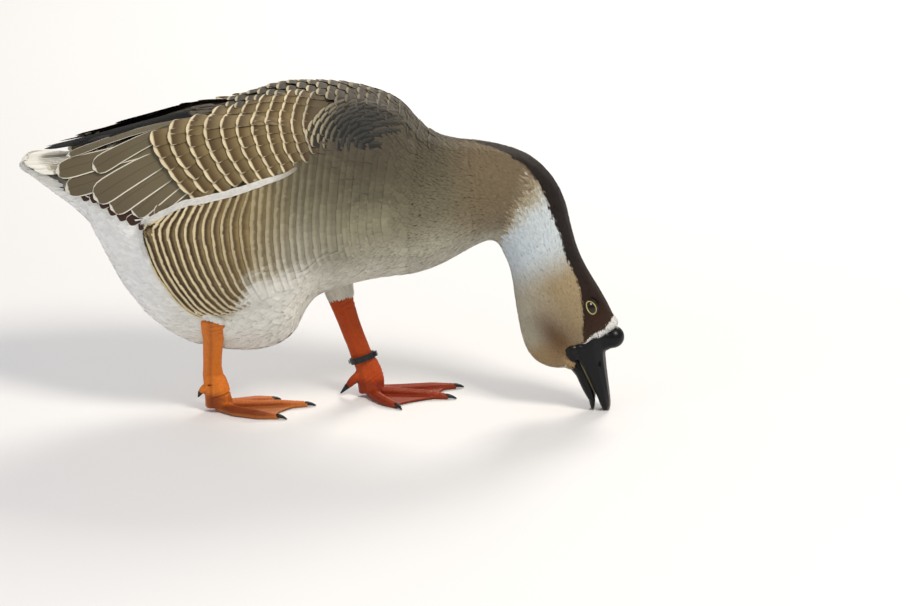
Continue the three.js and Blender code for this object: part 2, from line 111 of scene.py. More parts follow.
def makeStudio():
    bpy.ops.mesh.primitive_plane_add(size=studio["floorSize"], location=(0, 0, 0))
    floor = bpy.context.object
    floor.name = "floor"
    # matt background paper: even and without highlights
    paper = bpy.data.materials.new("seamlessPaper")
    paper.use_nodes = True
    shader = paper.node_tree.nodes["Principled BSDF"]
    shader.inputs["Base Color"].default_value = (*toLinear(studio["floor"]), 1)
    shader.inputs["Roughness"].default_value = 0.9
    floor.data.materials.append(paper)
    world = bpy.data.worlds.new("studioRoom")
    world.use_nodes = True
    background = world.node_tree.nodes["Background"]
    background.inputs["Color"].default_value = (*toLinear(studio["world"]), 1)
    background.inputs["Strength"].default_value = studio["worldStrength"]
    scene.world = world
    for name, lamp in studio["lamps"].items():
        data = bpy.data.lights.new(name, "AREA")
        data.energy = lamp["power"]
        data.size = lamp["size"]
        data.color = toLinear(lamp["color"])
        light = bpy.data.objects.new(name, data)
        light.location = lamp["at"]
        aim = Vector((0, 0, 0.2)) - Vector(lamp["at"])
        light.rotation_euler = aim.to_track_quat("-Z", "Y").to_euler()
        scene.collection.objects.link(light)


makeCamera()
makeStudio()
report("camera, floor and lights")

# mesh helpers


def deselect():
    bpy.ops.object.select_all(action="DESELECT")


def getPoints(piece):
    found = np.empty(len(piece.data.vertices) * 3)
    piece.data.vertices.foreach_get("co", found)
    return found.reshape(-1, 3)


def setPoints(piece, points):
    piece.data.vertices.foreach_set("co", np.asarray(points, float).ravel())
    piece.data.update()


def getNormals(piece):
    found = np.empty(len(piece.data.vertices) * 3)
    piece.data.vertex_normals.foreach_get("vector", found)
    return found.reshape(-1, 3)


def shadeSmooth(piece):
    piece.data.polygons.foreach_set("use_smooth", np.ones(len(piece.data.polygons), bool))


def writeColors(mesh, label, colors):
    layer = mesh.attributes.new(label, "FLOAT_COLOR", "POINT")
    layer.data.foreach_set("color", np.concatenate([colors, np.ones((len(colors), 1))], axis=1).ravel())


def joinPieces(parts, name):
    deselect()
    for part in parts:
        part.select_set(True)
    bpy.context.view_layer.objects.active = parts[0]
    if len(parts) > 1:
        bpy.ops.object.join()
    parts[0].name = name
    return parts[0]


# Nought before the start and one past the end, with soft corners
def smooth(values, start, end):
    t = np.clip((values - start) / (end - start), 0, 1)
    return t * t * (3 - 2 * t)


def bell(values, centre, width):
    return np.exp(-((values - centre) / width) ** 2)


# Values read between stops, each a place and its value
def follow(stops, places):
    return np.interp(places, *zip(*stops))


def unit(vectors):
    return vectors / (np.linalg.norm(vectors, axis=-1, keepdims=True) + 1e-12)


# Directions turned to lie in the surface
def laidFlat(directions, normals):
    return unit(directions - normals * (directions * normals).sum(axis=1)[:, None])


def applyModifier(piece, kind, **settings):
    bpy.context.view_layer.objects.active = piece
    modifier = piece.modifiers.new(kind.lower(), kind)
    for name, value in settings.items():
        setattr(modifier, name, value)
    bpy.ops.object.modifier_apply(modifier=modifier.name)


# One solid from copies of CAD nodes and ellipsoid lobes, swollen a little so that neighbours overlap, then
# remeshed; voxel and swell in mm
def moulded(name, nodes, voxel, rounds, swell=0.4, lobes=()):
    extras = []
    for centre, radii, tilt in lobes:
        deselect()
        bpy.ops.mesh.primitive_uv_sphere_add(
            segments=32, ring_count=16, radius=1, location=Vector(centre) * mm,
            rotation=(0, math.radians(tilt), 0), scale=[r * mm for r in radii])
        bpy.ops.object.transform_apply(location=True, rotation=True, scale=True)
        extras.append(bpy.context.object)
    parts = []
    for node in nodes:
        part = bpy.data.objects.new(name, frame["nodes"][node].data.copy())
        part.data.materials.clear()
        scene.collection.objects.link(part)
        if node in hems:
            points = getPoints(part)
            points[:, 2] = np.maximum(points[:, 2], hems[node])
            setPoints(part, points)
        parts.append(part)
    piece = joinPieces(parts + extras, name)
    bpy.ops.object.mode_set(mode="EDIT")
    bpy.ops.mesh.select_all(action="SELECT")
    bpy.ops.mesh.remove_doubles(threshold=0.02 * mm)
    bpy.ops.object.mode_set(mode="OBJECT")
    setPoints(piece, getPoints(piece) + getNormals(piece) * swell * mm)
    applyModifier(piece, "REMESH", mode="VOXEL", voxel_size=voxel * mm)
    applyModifier(piece, "SMOOTH", factor=0.6, iterations=rounds)
    shadeSmooth(piece)
    return piece


def finishPiece(piece, material, nodes=()):
    piece.data.materials.clear()
    piece.data.materials.append(material)
    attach(piece, "root")
    if nodes:
        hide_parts(*nodes)


# the outer form of the plumage, and the skin under it

lengths = ["trunk", "breast", "neck_lower", "neck_middle", "neck_upper", "head", "tail"]
fleshNodes = lengths + bothSides("thigh")
layerNodes = bothSides("flank", "wing", "tertials", "primaries")
hems = {"thigh_right": 0.12, "thigh_left": 0.123}  # metres up, where the thigh's feathers end
# the feathered brow over the root of the bill, and the feathers that run down beside the chin: centre and
# radii in mm, tilt in degrees
brow = [((302, 0, 88.5), (11, 23.5, 11), -24), ((316, 0, 94.8), (12, 19.5, 10.5), -24),
        ((327, 0, 101), (10, 15, 9.5), -24), ((332.5, 0, 104), (8, 11, 8), -24),
        ((284, 13, 59), (11, 9.5, 7.5), 41), ((284, -13, 59), (11, 9.5, 7.5), 41)]

form = moulded("form", fleshNodes + layerNodes, voxel=2.5, rounds=16, lobes=brow)


# Extra smoothing of the points whose share is above nought
def easeWhere(piece, share, iterations):
    chosen = piece.vertex_groups.new(name="eased")
    for i in np.flatnonzero(share > 0.02):
        chosen.add([int(i)], float(share[i]), "REPLACE")
    applyModifier(piece, "SMOOTH", factor=0.7, iterations=iterations, vertex_group="eased")
    piece.vertex_groups.clear()


# the wings' upper edges and the flank's rear edge are eased so that feathers cross them evenly
def easeRidge(piece):
    x, y, z = getPoints(piece).T / mm
    lean = np.degrees(np.arctan2(np.abs(y), z - 235))
    wings = smooth(x, -215, -190) * smooth(x, 60, 20) * smooth(lean, 4, 10) * smooth(lean, 50, 40)
    rear = smooth(x, -232, -205) * smooth(x, -105, -140) * smooth(lean, 92, 104) * smooth(lean, 168, 150)
    easeWhere(piece, np.maximum(wings, rear), 60)


easeRidge(form)
formPoints, formNormals = getPoints(form), getNormals(form)
formFaces = np.array([p.vertices[:] for p in form.data.polygons])
formTree = BVHTree.FromPolygons(formPoints.tolist(), formFaces.tolist())
faceNormals = formNormals[formFaces].mean(axis=1)
faceNormals /= np.linalg.norm(faceNormals, axis=1)[:, None]


# Nearest places on the form and the normals there
def onForm(points):
    spots, faces = [], []
    for point in points:
        spot, _, face, _ = formTree.find_nearest(point)
        spots.append(spot)
        faces.append(face)
    return np.array(spots), faceNormals[faces]


# Search tree over the faces of some nodes, and the name of each face's node
def treeOf(nodes):
    owners, corners, faces = [], [], []
    for name in nodes:
        mesh = frame["nodes"][name].data
        base = len(corners)
        corners.extend(v.co[:] for v in mesh.vertices)
        faces.extend([base + i for i in p.vertices] for p in mesh.polygons)
        owners.extend([name] * len(mesh.polygons))
    return BVHTree.FromPolygons(corners, faces), np.array(owners)


# The first place met on a tree's surface, and its normal, coming in from one side or down from above
def castIn(tree, x, z, sign):
    return tree.ray_cast(Vector((x, sign * 0.4, z)), Vector((0, -sign, 0)))[:2]


def castDown(tree, x, y):
    return tree.ray_cast(Vector((x, y, 0.6)), Vector((0, 0, -1)))[:2]


# body coordinates: along the spine from the face in mm, and round it in degrees from the back


def middleOf(node):
    low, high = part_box(node)
    return (low + high) / 2


def centroidOf(node):
    return getPoints(frame["nodes"][node]).mean(axis=0)


tailLow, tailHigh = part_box("tail")
_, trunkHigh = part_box("trunk")
spineStops = [(middleOf("bill_knob") + middleOf("bill_lower")) / 2]
spineStops += [centroidOf(n) for n in ("head", "neck_upper", "neck_middle", "neck_lower")]
spineStops += [(middleOf("breast").x, 0, 0.62 * trunkHigh.z)]
spineStops += [(middleOf("trunk").x, 0, 0.6 * trunkHigh.z)]
spineStops += [(tailHigh.x, 0, tailHigh.z - 0.045), (tailLow.x, 0, tailHigh.z - 0.012)]
spineStops = np.array([tuple(stop) for stop in spineStops])
spineStops[:, 1] = 0


def curveThrough(stops, steps=40):
    ends = np.vstack([2 * stops[0] - stops[1], stops, 2 * stops[-1] - stops[-2]])
    t = np.linspace(0, 1, steps, endpoint=False)[:, None]
    spans = []
    for a, b, c, d in zip(ends, ends[1:], ends[2:], ends[3:]):
        bend = (2 * a - 5 * b + 4 * c - d) * t * t + (3 * b - a - 3 * c + d) * t ** 3
        spans.append(0.5 * (2 * b + (c - a) * t + bend))
    return np.vstack([*spans, stops[-1:]])


spine = curveThrough(spineStops)
spineAlong = np.concatenate([[0], np.cumsum(np.linalg.norm(np.diff(spine, axis=0), axis=1))]) / mm
spineAhead = np.gradient(spine, axis=0)
spineAhead /= np.linalg.norm(spineAhead, axis=1)[:, None]
spineUp = np.stack([spineAhead[:, 2], 0 * spineAhead[:, 0], -spineAhead[:, 0]], axis=1)


def bodyPlace(points):
    along, around, ahead = [], [], []
    for block in np.array_split(np.asarray(points), max(1, len(points) // 4000)):
        away = ((block[:, None] - spine[None]) ** 2).sum(axis=2)
        near = away.argmin(axis=1)
        off = block - spine[near]
        height = (off * spineUp[near]).sum(axis=1)
        along.append(spineAlong[near])
        around.append(np.degrees(np.arctan2(np.abs(off[:, 1]), height)))
        ahead.append(spineAhead[near])
    return np.concatenate(along), np.concatenate(around), np.concatenate(ahead)


# Place on the trunk: x along it in mm, and degrees from the top of the back, on one side
def onTrunk(x, degrees, side):
    height = np.interp(x * mm, spine[::-1, 0], spine[::-1, 2])
    out = Vector((0, side * math.sin(math.radians(degrees)), math.cos(math.radians(degrees))))
    start = Vector((x * mm, 0, height)) + out * 0.4
    spot, _, face, _ = formTree.ray_cast(start, -out)
    return np.array(spot), faceNormals[face]


report(f"form of {len(formFaces)} faces")

# plumage colours by place

palette = {
    "nape": "#170a05", "crown": "#291306", "lore": "#3b220c", "shade": "#37322a",
    "cheek": "#a18f6e", "rust": "#5d3c20", "throat": "#b8b19c", "chin": "#ab9068",
    "foreneck": "#cdd7db", "faceBand": "#e4e4e0", "neckTan": "#74644c", "blend": "#b4a98f",
    "belly": "#cbc8ba", "paunch": "#e4e2d8", "vent": "#f4f3ec", "breast": "#575240",
}
# the body's colours round it, in degrees from the back
sideRamp = [(0, "#4c4232"), (35, "#575040"), (50, "#615a47"), (66, "#757059"), (90, "#8b866f"),
            (120, "#a5a290"), (150, "#bbb8a8"), (180, "#c6c3b6")]
# the dark stripe down the nape: mm along the spine and half width in degrees
stripe = [(25, 97), (41, 82), (53, 70), (80, 53), (97, 45), (126, 47), (150, 41), (184, 44),
          (196, 37), (207, 28), (222, 14), (240, 4), (255, 0)]
# where the pale foreneck ends: degrees and mm along the spine
foreneckTop = [(0, 195), (86, 195), (102, 191), (133, 179), (158, 169), (180, 165)]


def ramp(values, stops):
    places = [place for place, _ in stops]
    colors = np.array([toLinear(code) for _, code in stops])
    return np.stack([np.interp(values, places, colors[:, i]) for i in range(3)], axis=1)


def paint(colors, name, mask):
    target = np.array(toLinear(palette.get(name, name)))
    return colors + (target - colors) * mask[:, None]


rustAt = np.array([269, 28, 94]) * mm
rustAlong = np.array([0.62, -0.1, -0.78])  # the cheek's streak slants down to the gape


# the dark patch on the shoulder and below it
def shoulderShade(x, around):
    return 0.68 * smooth(around, 90, 58) * bell(x, 58, 60)


def coatColor(points):
    points = np.asarray(points)
    along, around, _ = bodyPlace(points)
    jitter = chance.normal(0, 1, len(points))
    x = points[:, 0] / mm
    colors = ramp(around, sideRamp)
    colors = paint(colors, "belly", smooth(around, 110, 150) * smooth(x, 130, 40))
    colors = paint(colors, "paunch", smooth(x, 30, -30) * smooth(around, 70, 100))
    colors = paint(colors, "vent", smooth(x, -120, -200) * smooth(around, 70, 100))
    colors = paint(colors, "breast", 0.6 * smooth(x, 60, 110) * smooth(around, 125, 85))
    colors = paint(colors, "shade", shoulderShade(x, around + 5 * jitter))
    # neck
    colors = paint(colors, "neckTan", smooth(along, 290, 235) * smooth(around, 150, 110) * 0.8)
    top = follow(foreneckTop, around)
    colors = paint(colors, "blend", 0.8 * smooth(along + 3 * jitter, top + 17, top))
    # the foreneck is white; its pale blue-grey tint is painted shade, the cool light on a shaded side
    white = smooth(along + 3 * jitter, top + 7, top - 11)
    colors = paint(colors, "foreneck", white)
    # face
    head = smooth(along, 150, 100)
    face = ramp(around, [(0, palette["cheek"]), (100, palette["cheek"]), (150, palette["throat"])])
    face = paint(face, "chin", smooth(along, 60, 30) * smooth(around, 100, 130))
    off = (np.abs(points) - rustAt) / mm
    length = off @ rustAlong
    away = np.hypot(length / 36, np.linalg.norm(off - length[:, None] * rustAlong, axis=1) / 19)
    face = paint(face, "rust", 0.85 * bell(away, 0, 1))
    colors = colors + (face - colors) * head[:, None]
    # crown and nape
    half = follow(stripe, along)
    dark = smooth(around + 1.2 * jitter, half + 2, half - 2)
    cap = ramp(along, [(30, palette["lore"]), (60, palette["crown"]), (120, palette["nape"])])
    return colors + (cap - colors) * dark[:, None]


# millimetres above the slanting line where the feathers end on the root of the bill
browLine = {"at": (304, 84), "rise": 0.446, "slant": 24}


def aboveBrow(points):
    x, z = points[:, 0] / mm, points[:, 2] / mm
    level = browLine["at"][1] + browLine["rise"] * (x - browLine["at"][0])
    return (z - level) * math.cos(math.radians(browLine["slant"]))


# the white band round the root of the bill: x and width in mm
faceBand = [(297, -3), (302, 1.5), (308, 5.5), (314, 6.8), (325, 6.5), (329, 9.5), (334, 13.5)]


def tuftColor(points):
    colors = coatColor(points)
    x = points[:, 0] / mm
    _, around, _ = bodyPlace(points)
    inside = smooth(aboveBrow(points) - follow(faceBand, x), 0.5, -0.5)
    return paint(colors, "faceBand", inside * smooth(x, 296, 298.5) * smooth(around, 106, 98))


# feathers as closed thin vanes, many in one mesh

# each kind: shares along the vane with the width there, columns across, and how far its tip is rounded
vaneKinds = {
    "tuft": {"rows": [(0, 0.45), (0.5, 1.0), (1, 0.22)], "columns": [-1, 0, 1], "round": 0.12},
    "body": {"rows": [(0, 0.4), (0.35, 0.9), (0.75, 1.0), (1, 0.45)], "columns": [-1, 0, 1], "round": 0.14},
    "row": {
        "rows": [(0, 0.5), (0.4, 0.85), (0.65, 1.0), (0.82, 1.0), (0.92, 1.0), (0.98, 1.0), (1, 0.99)],
        "columns": [-1, -0.55, 0, 0.55, 1], "round": 0.0,
    },
    "covert": {
        "rows": [(0, 0.5), (0.4, 0.85), (0.65, 1.0), (0.82, 1.0), (0.91, 0.98), (0.97, 0.9), (1, 0.78)],
        "columns": [-1, -0.55, 0, 0.55, 1], "round": 0.06,
    },
    "quill": {
        "rows": [(0, 0.12), (0.12, 0.5), (0.3, 0.86), (0.5, 0.97), (0.7, 1.0), (0.84, 1.0), (0.91, 0.94),
                 (0.955, 0.79), (0.985, 0.52), (1, 0.2)],
        "columns": [-1, -0.7, -0.35, 0, 0.35, 0.7, 1], "round": 0.01,
    },
    "blade": {
        "rows": [(0, 0.3), (0.15, 0.7), (0.35, 0.95), (0.55, 1.0), (0.72, 0.95), (0.84, 0.84), (0.93, 0.64),
                 (0.98, 0.4), (1, 0.2)],
        "columns": [-1, -0.5, 0, 0.5, 1], "round": 0.02,
    },
}


def vaneTemplate(kind):
    rows, columns = vaneKinds[kind]["rows"], vaneKinds[kind]["columns"]
    tall, wide = len(rows), len(columns)
    grid = np.arange(tall * wide).reshape(tall, wide)
    under = grid.copy()
    inner = np.zeros_like(grid, bool)
    inner[1:-1, 1:-1] = True
    under[inner] = tall * wide + np.arange(inner.sum())
    faces = []
    for sheet, flip in ((grid, False), (under, True)):
        for i in range(tall - 1):
            for j in range(wide - 1):
                face = [sheet[i, j], sheet[i, j + 1], sheet[i + 1, j + 1], sheet[i + 1, j]]
                faces.append(face[::-1] if flip else face)
    along = np.array([place for place, _ in rows])[:, None] + 0 * np.array(columns)
    width = np.array([width for _, width in rows])[:, None] + 0 * np.array(columns)
    across = np.array(columns)[None] + 0 * along
    flat = [np.concatenate([part.ravel(), part[inner]]) for part in (along, across, width)]
    lift = np.concatenate([inner.ravel() * 1.0, -np.ones(inner.sum())])
    return np.array(faces), *flat, lift


# Geodesic walks over the form: each row of starts gives a path of places and normals
def walk(starts, headings, reach, steps):
    spots, normals = onForm(starts)
    paths, ups = [spots], [normals]
    heading = np.array(headings, float)
    for _ in range(steps):
        heading = laidFlat(heading, normals)
        spots, normals = onForm(spots + heading * (reach / steps)[:, None])
        paths.append(spots)
        ups.append(normals)
    return np.stack(paths, axis=1), np.stack(ups, axis=1)


# Paths from root to tip, walked from the tips back
def walkBack(tips, headings, reach, steps):
    paths, ups = walk(tips, -headings, reach, steps)
    return paths[:, ::-1], ups[:, ::-1]


# Each vane follows its path from root to tip; depth is how far its root lies under the form and lift how far
# its tip stands over it, in mm
def layVanes(name, kind, paths, ups, half, tint, rim, depth, lift=0.0, thick=0.14, droop=0.035,
             patch=0.003, spread=None, bars=1.0):
    faces, along, across, width, side = vaneTemplate(kind)
    count, steps = paths.shape[0], paths.shape[1] - 1
    half = np.broadcast_to(half, count)[:, None]
    depth = np.broadcast_to(depth, count)[:, None]
    lift = np.broadcast_to(lift, count)[:, None]
    share = np.clip(along - vaneKinds[kind]["round"] * across ** 2 * along ** 5, 0, 1)
    at = share * steps
    low = np.minimum(at.astype(int), steps - 1)
    part = (at - low)[None, :, None]
    places = paths[:, low] * (1 - part) + paths[:, low + 1] * part
    normals = unit(ups[:, low] * (1 - part) + ups[:, low + 1] * part)
    ahead = unit(paths[:, low + 1] - paths[:, low])
    aside = unit(np.cross(ahead, normals))
    reach = (across * width)[None] * half
    height = -depth * (1 - share) ** 1.3 + lift * share ** 2
    height = height - droop * (across * width) ** 2 * half + thick * 0.5 * side * width
    if spread is not None:
        height = height + reach * np.broadcast_to(spread, count)[:, None]
    points = places + aside * reach[..., None] * mm + normals * height[..., None] * mm
    corners = len(along)
    loops = (faces.ravel()[None] + (np.arange(count) * corners)[:, None]).ravel()
    mesh = bpy.data.meshes.new(name)
    mesh.vertices.add(count * corners)
    mesh.vertices.foreach_set("co", points.ravel())
    mesh.loops.add(len(loops))
    mesh.loops.foreach_set("vertex_index", loops.astype(np.int32))
    mesh.polygons.add(len(loops) // 4)
    mesh.polygons.foreach_set("loop_start", np.arange(0, len(loops), 4, dtype=np.int32))
    mesh.polygons.foreach_set("loop_total", np.full(len(loops) // 4, 4, np.int32))
    mesh.update(calc_edges=True)
    local = np.stack([0.5 + 0.5 * across, share], axis=1)[faces.ravel()]
    vaneMap = mesh.uv_layers.new(name="vane")
    vaneMap.data.foreach_set("uv", np.tile(local, (count, 1)).ravel())
    alongBody, aroundBody, _ = bodyPlace(paths[:, 0])
    turn = np.sign(paths[:, 0, 1]) * aroundBody
    place = np.stack([turn, alongBody], axis=1)
    place = (place - place.min(axis=0)) / (np.ptp(place, axis=0) + 1e-9) * 0.97 + 0.01
    bake = place[:, None] + (local - (0.5, 0)) * patch
    bakeMap = mesh.uv_layers.new(name="OFBake")
    bakeMap.data.foreach_set("uv", bake.reshape(-1))
    look = np.stack([chance.random(count), np.broadcast_to(bars, count), np.zeros(count)], axis=1)
    for label, values in (("tint", tint), ("rim", rim), ("look", look)):
        writeColors(mesh, label, np.repeat(np.broadcast_to(values, (count, 3)), corners, axis=0))
    piece = bpy.data.objects.new(name, mesh)
    scene.collection.objects.link(piece)
    deselect()
    piece.select_set(True)
    bpy.context.view_layer.objects.active = piece
    bpy.ops.object.shade_smooth_by_angle(angle=math.radians(50))
    report(f"{name}: {count} vanes, {2 * len(loops) // 4} triangles")
    return piece


# materials


# Adds one node with its settings and its inputs, which are values or other nodes' sockets
def addNode(tree, kind, settings, inputs, out=0):
    node = tree.nodes.new("ShaderNode" + kind)
    for name, value in settings.items():
        setattr(node, name, value)
    for name, value in inputs.items():
        if isinstance(value, bpy.types.NodeSocket):
            tree.links.new(value, node.inputs[name])
        else:
            node.inputs[name].default_value = value
    return node.outputs[out]


times, plus, timesPlus = [{"operation": name} for name in ("MULTIPLY", "ADD", "MULTIPLY_ADD")]
sine, scaleBy = {"operation": "SINE"}, {"operation": "SCALE"}
colorMix, smoothStep = {"data_type": "RGBA"}, {"interpolation_type": "SMOOTHSTEP"}


def newMaterial(name):
    material = bpy.data.materials.new(name)
    material.use_nodes = True
    return material, material.node_tree, material.node_tree.nodes["Principled BSDF"]


# Keratin vanes: matt, with a pale fringe, a dusky bar before the tip, a shaft and slanting barbs. Barbs are
# 0.3 mm apart in life and drawn coarser so that they show.
def vaneMaterial(name, fringe, tipFringe, barbs, comb=0.0, shaft=0.0, roughness=0.75, sheen=0.06,
                 wobble=0.05, barbShade=0.16, bump=0.25, bar=None, barColor="#4a331b", rootColor=None,
                 grainSize=3.5, blur=1.2, teeth=0, outerFrom=0.2):
    material, tree, shader = newMaterial(name)
    place = addNode(tree, "UVMap", {"uv_map": "vane"}, {})
    split = addNode(tree, "SeparateXYZ", {}, {0: place})
    across, along = split, split.node.outputs[1]
    coords = addNode(tree, "TexCoord", {}, {}, out=3)
    grain = addNode(tree, "TexNoise", {}, {"Vector": coords, "Scale": 1 / (grainSize * mm), "Detail": 3.0})
    shake = addNode(tree, "Math", timesPlus, {0: grain, 1: 2 * wobble, 2: -wobble})
    centred = addNode(tree, "Math", timesPlus, {0: across, 1: 2.0, 2: -1.0})
    aside = addNode(tree, "Math", {"operation": "ABSOLUTE"}, {0: centred})
    alongShaken = addNode(tree, "Math", plus, {0: along, 1: shake})
    if teeth:
        turn = addNode(tree, "Math", times, {0: across, 1: teeth * 2 * math.pi})
        notch = addNode(tree, "Math", sine, {0: turn})
        alongShaken = addNode(tree, "Math", timesPlus, {
            0: notch, 1: 0.15 * tipFringe, 2: alongShaken})
    mask = addNode(tree, "MapRange", smoothStep, {
        "Value": alongShaken, "From Min": 1 - blur * tipFringe, "From Max": 1 - 0.75 * tipFringe})
    if fringe:
        asideShaken = addNode(tree, "Math", plus, {0: aside, 1: shake})
        edge = addNode(tree, "MapRange", smoothStep, {
            "Value": asideShaken, "From Min": 1 - 1.3 * fringe, "From Max": 1 - 0.6 * fringe})
        outer = addNode(tree, "MapRange", smoothStep, {
            "Value": along, "From Min": outerFrom, "From Max": min(1.0, outerFrom + 0.25)})
        edgeOuter = addNode(tree, "Math", times, {0: edge, 1: outer})
        mask = addNode(tree, "Math", {"operation": "MAXIMUM"}, {0: edgeOuter, 1: mask})
    tint = addNode(tree, "Attribute", {"attribute_name": "tint"}, {})
    rim = addNode(tree, "Attribute", {"attribute_name": "rim"}, {})
    looks = addNode(tree, "Attribute", {"attribute_name": "look"}, {})
    look = addNode(tree, "SeparateColor", {}, {0: looks})
    if rootColor:
        base = addNode(tree, "MapRange", smoothStep, {
            "Value": alongShaken, "From Min": 0.25, "From Max": 0.7, "To Min": 1.0, "To Max": 0.0})
        tint = addNode(tree, "Mix", colorMix, {
            0: base, 6: tint, 7: (*toLinear(rootColor), 1)}, out=2)
    if bar:
        dusk = addNode(tree, "MapRange", smoothStep, {
            "Value": alongShaken, "From Min": bar[0], "From Max": bar[1], "To Max": bar[2]})
        strength = addNode(tree, "Math", times, {0: dusk, 1: look.node.outputs[1]})
        tint = addNode(tree, "Mix", colorMix, {
            0: strength, 6: tint, 7: (*toLinear(barColor), 1)}, out=2)
    color = addNode(tree, "Mix", colorMix, {0: mask, 6: tint, 7: rim}, out=2)
    slant = addNode(tree, "Math", timesPlus, {
        0: aside, 1: comb / barbs - 0.45, 2: along})
    phase = addNode(tree, "Math", timesPlus, {0: grain, 1: 0.3 / barbs, 2: slant})
    turns = addNode(tree, "Math", times, {0: phase, 1: barbs * 2 * math.pi})
    wave = addNode(tree, "Math", sine, {0: turns})
    shade = addNode(tree, "MapRange", {}, {
        "Value": wave, "From Min": -1.0, "From Max": 1.0, "To Min": 1 - barbShade, "To Max": 1.0})
    tone = addNode(tree, "MapRange", {}, {
        "Value": look, "From Min": 0.0, "From Max": 1.0, "To Min": 0.9, "To Max": 1.06})
    shaded = addNode(tree, "Math", times, {0: shade, 1: tone})
    if shaft:
        line = addNode(tree, "MapRange", smoothStep, {
            "Value": aside, "From Min": 0.02, "From Max": 0.07, "To Min": 1 - shaft, "To Max": 1.0})
        shaded = addNode(tree, "Math", times, {0: shaded, 1: line})
    scaled = addNode(tree, "VectorMath", scaleBy, {0: color, "Scale": shaded})
    tree.links.new(scaled, shader.inputs["Base Color"])
    shader.inputs["Roughness"].default_value = roughness
    shader.inputs["Sheen Weight"].default_value = sheen
    shader.inputs["Sheen Roughness"].default_value = 0.5
    shader.inputs["Specular IOR Level"].default_value = 0.3
    raised = addNode(tree, "Bump", {}, {"Strength": bump, "Distance": 0.2 * mm, "Height": wave})
    tree.links.new(raised, shader.inputs["Normal"])
    return material


# down with loose barbs: soft and matt, with faint streaks and no outlines
downyPlumage = vaneMaterial("downyPlumage", 0.35, 0.3, 1.5, comb=2, wobble=0.1, barbShade=0.14, bump=0.1)
# contour feathers: matt, with soft edges that only just show
softPlumage = vaneMaterial("softPlumage", 0.25, 0.22, 2, comb=4, wobble=0.08, barbShade=0.12, bump=0.2)
# wing coverts: brown webs that darken towards a pale toothed fringe
scalePlumage = vaneMaterial("scalePlumage", 0.09, 0.105, 24, wobble=0.015, bar=(0.5, 0.88, 0.85),
                            grainSize=1.6, barColor="#49331a", barbShade=0.2, teeth=15, outerFrom=0.7)
# shoulder feathers: dusky webs with thin lighter edges
mantlePlumage = vaneMaterial("mantlePlumage", 0.06, 0.12, 12, wobble=0.05, bar=(0.4, 0.85, 0.6), grainSize=2,
                             barColor="#26231d", blur=1.6, outerFrom=0.6)
# flank feathers: a dark bar before a cream tip, so that the rows read as bars
barredPlumage = vaneMaterial("barredPlumage", 0, 0.1, 14, wobble=0.034, bar=(0.66, 0.84, 0.95), grainSize=3,
                             barColor="#392514", barbShade=0.22, teeth=8)
# the same further forward: greyer, with blurred bars
streakPlumage = vaneMaterial("streakPlumage", 0, 0.1, 10, wobble=0.06, bar=(0.55, 0.8, 0.9), grainSize=5,
                             barColor="#443d2e", barbShade=0.18, blur=2.2)
# broad stiff tertials: smooth and close webs, a darker shaft and a thin pale edge
broadVane = vaneMaterial("broadVane", 0.1, 0.03, 34, shaft=0.25, wobble=0.01, roughness=0.6, grainSize=5,
                         bar=(0.4, 0.95, 0.25))
# primaries: hard, nearly black webs with a slight gloss
flightVane = vaneMaterial("flightVane", 0.06, 0.015, 40, shaft=0.2, wobble=0.01, roughness=0.5, sheen=0.02)
# tail quills: dull brown webs under a broad white fringe
tailVane = vaneMaterial("tailVane", 0.45, 0.22, 30, shaft=0.2, wobble=0.03, roughness=0.6,
                        rootColor="#6b6350")
# rump coverts: loose dusky webs with blurred pale tips
rumpVane = vaneMaterial("rumpVane", 0.18, 0.07, 18, wobble=0.06, shaft=0.15, bar=(0.3, 0.8, 0.25))


# the skin's down: matt and grained, so that gaps between feathers read as more feathers
def skinMaterial():
    material, tree, shader = newMaterial("downUnderFeathers")
    tint = addNode(tree, "Attribute", {"attribute_name": "tint"}, {})
    coords = addNode(tree, "TexCoord", {}, {}, out=3)
    grain = addNode(tree, "TexNoise", {}, {"Vector": coords, "Scale": 1 / (2.5 * mm), "Detail": 4.0})
    shade = addNode(tree, "MapRange", {}, {"Value": grain, "To Min": 0.7, "To Max": 1.1})
    scaled = addNode(tree, "VectorMath", scaleBy, {0: tint, "Scale": shade})
    tree.links.new(scaled, shader.inputs["Base Color"])
    shader.inputs["Roughness"].default_value = 0.9
    raised = addNode(tree, "Bump", {}, {"Strength": 0.4, "Distance": 0.6 * mm, "Height": grain})
    tree.links.new(raised, shader.inputs["Normal"])
    return material


# the skin: the flesh, flanks and wings drawn in by the depth of the coat

coat = {
    "depth": [(60, 1.4), (130, 1.4), (220, 2.6), (300, 4.5)],  # place along the spine, and depth, mm
    "most": 0.33,  # of the thickness there
    "dim": 0.8,  # the skin's tint next to the coat's
}


def makeSkin():
    skin = moulded("skin", fleshNodes + bothSides("flank", "wing"), voxel=3, rounds=14)
    points, normals = getPoints(skin), getNormals(skin)
    along, _, _ = bodyPlace(points)
    depth = follow(coat["depth"], along)
    tree = BVHTree.FromPolygons(points.tolist(), [p.vertices[:] for p in skin.data.polygons])
    for i, (point, normal) in enumerate(zip(points, normals)):
        thick = tree.ray_cast(Vector(point - normal * 0.2 * mm), Vector(-normal), 0.04)[3]
        if thick is not None:
            depth[i] = min(depth[i], coat["most"] * thick / mm)
    setPoints(skin, points - normals * depth[:, None] * mm)
    applyModifier(skin, "SMOOTH", factor=0.5, iterations=4)
    writeColors(skin.data, "tint", tuftColor(getPoints(skin)) * coat["dim"])
    finishPiece(skin, skinMaterial(), fleshNodes)
    return skin


skin = makeSkin()
report(f"skin of {len(skin.data.polygons)} faces")

# places for small feathers


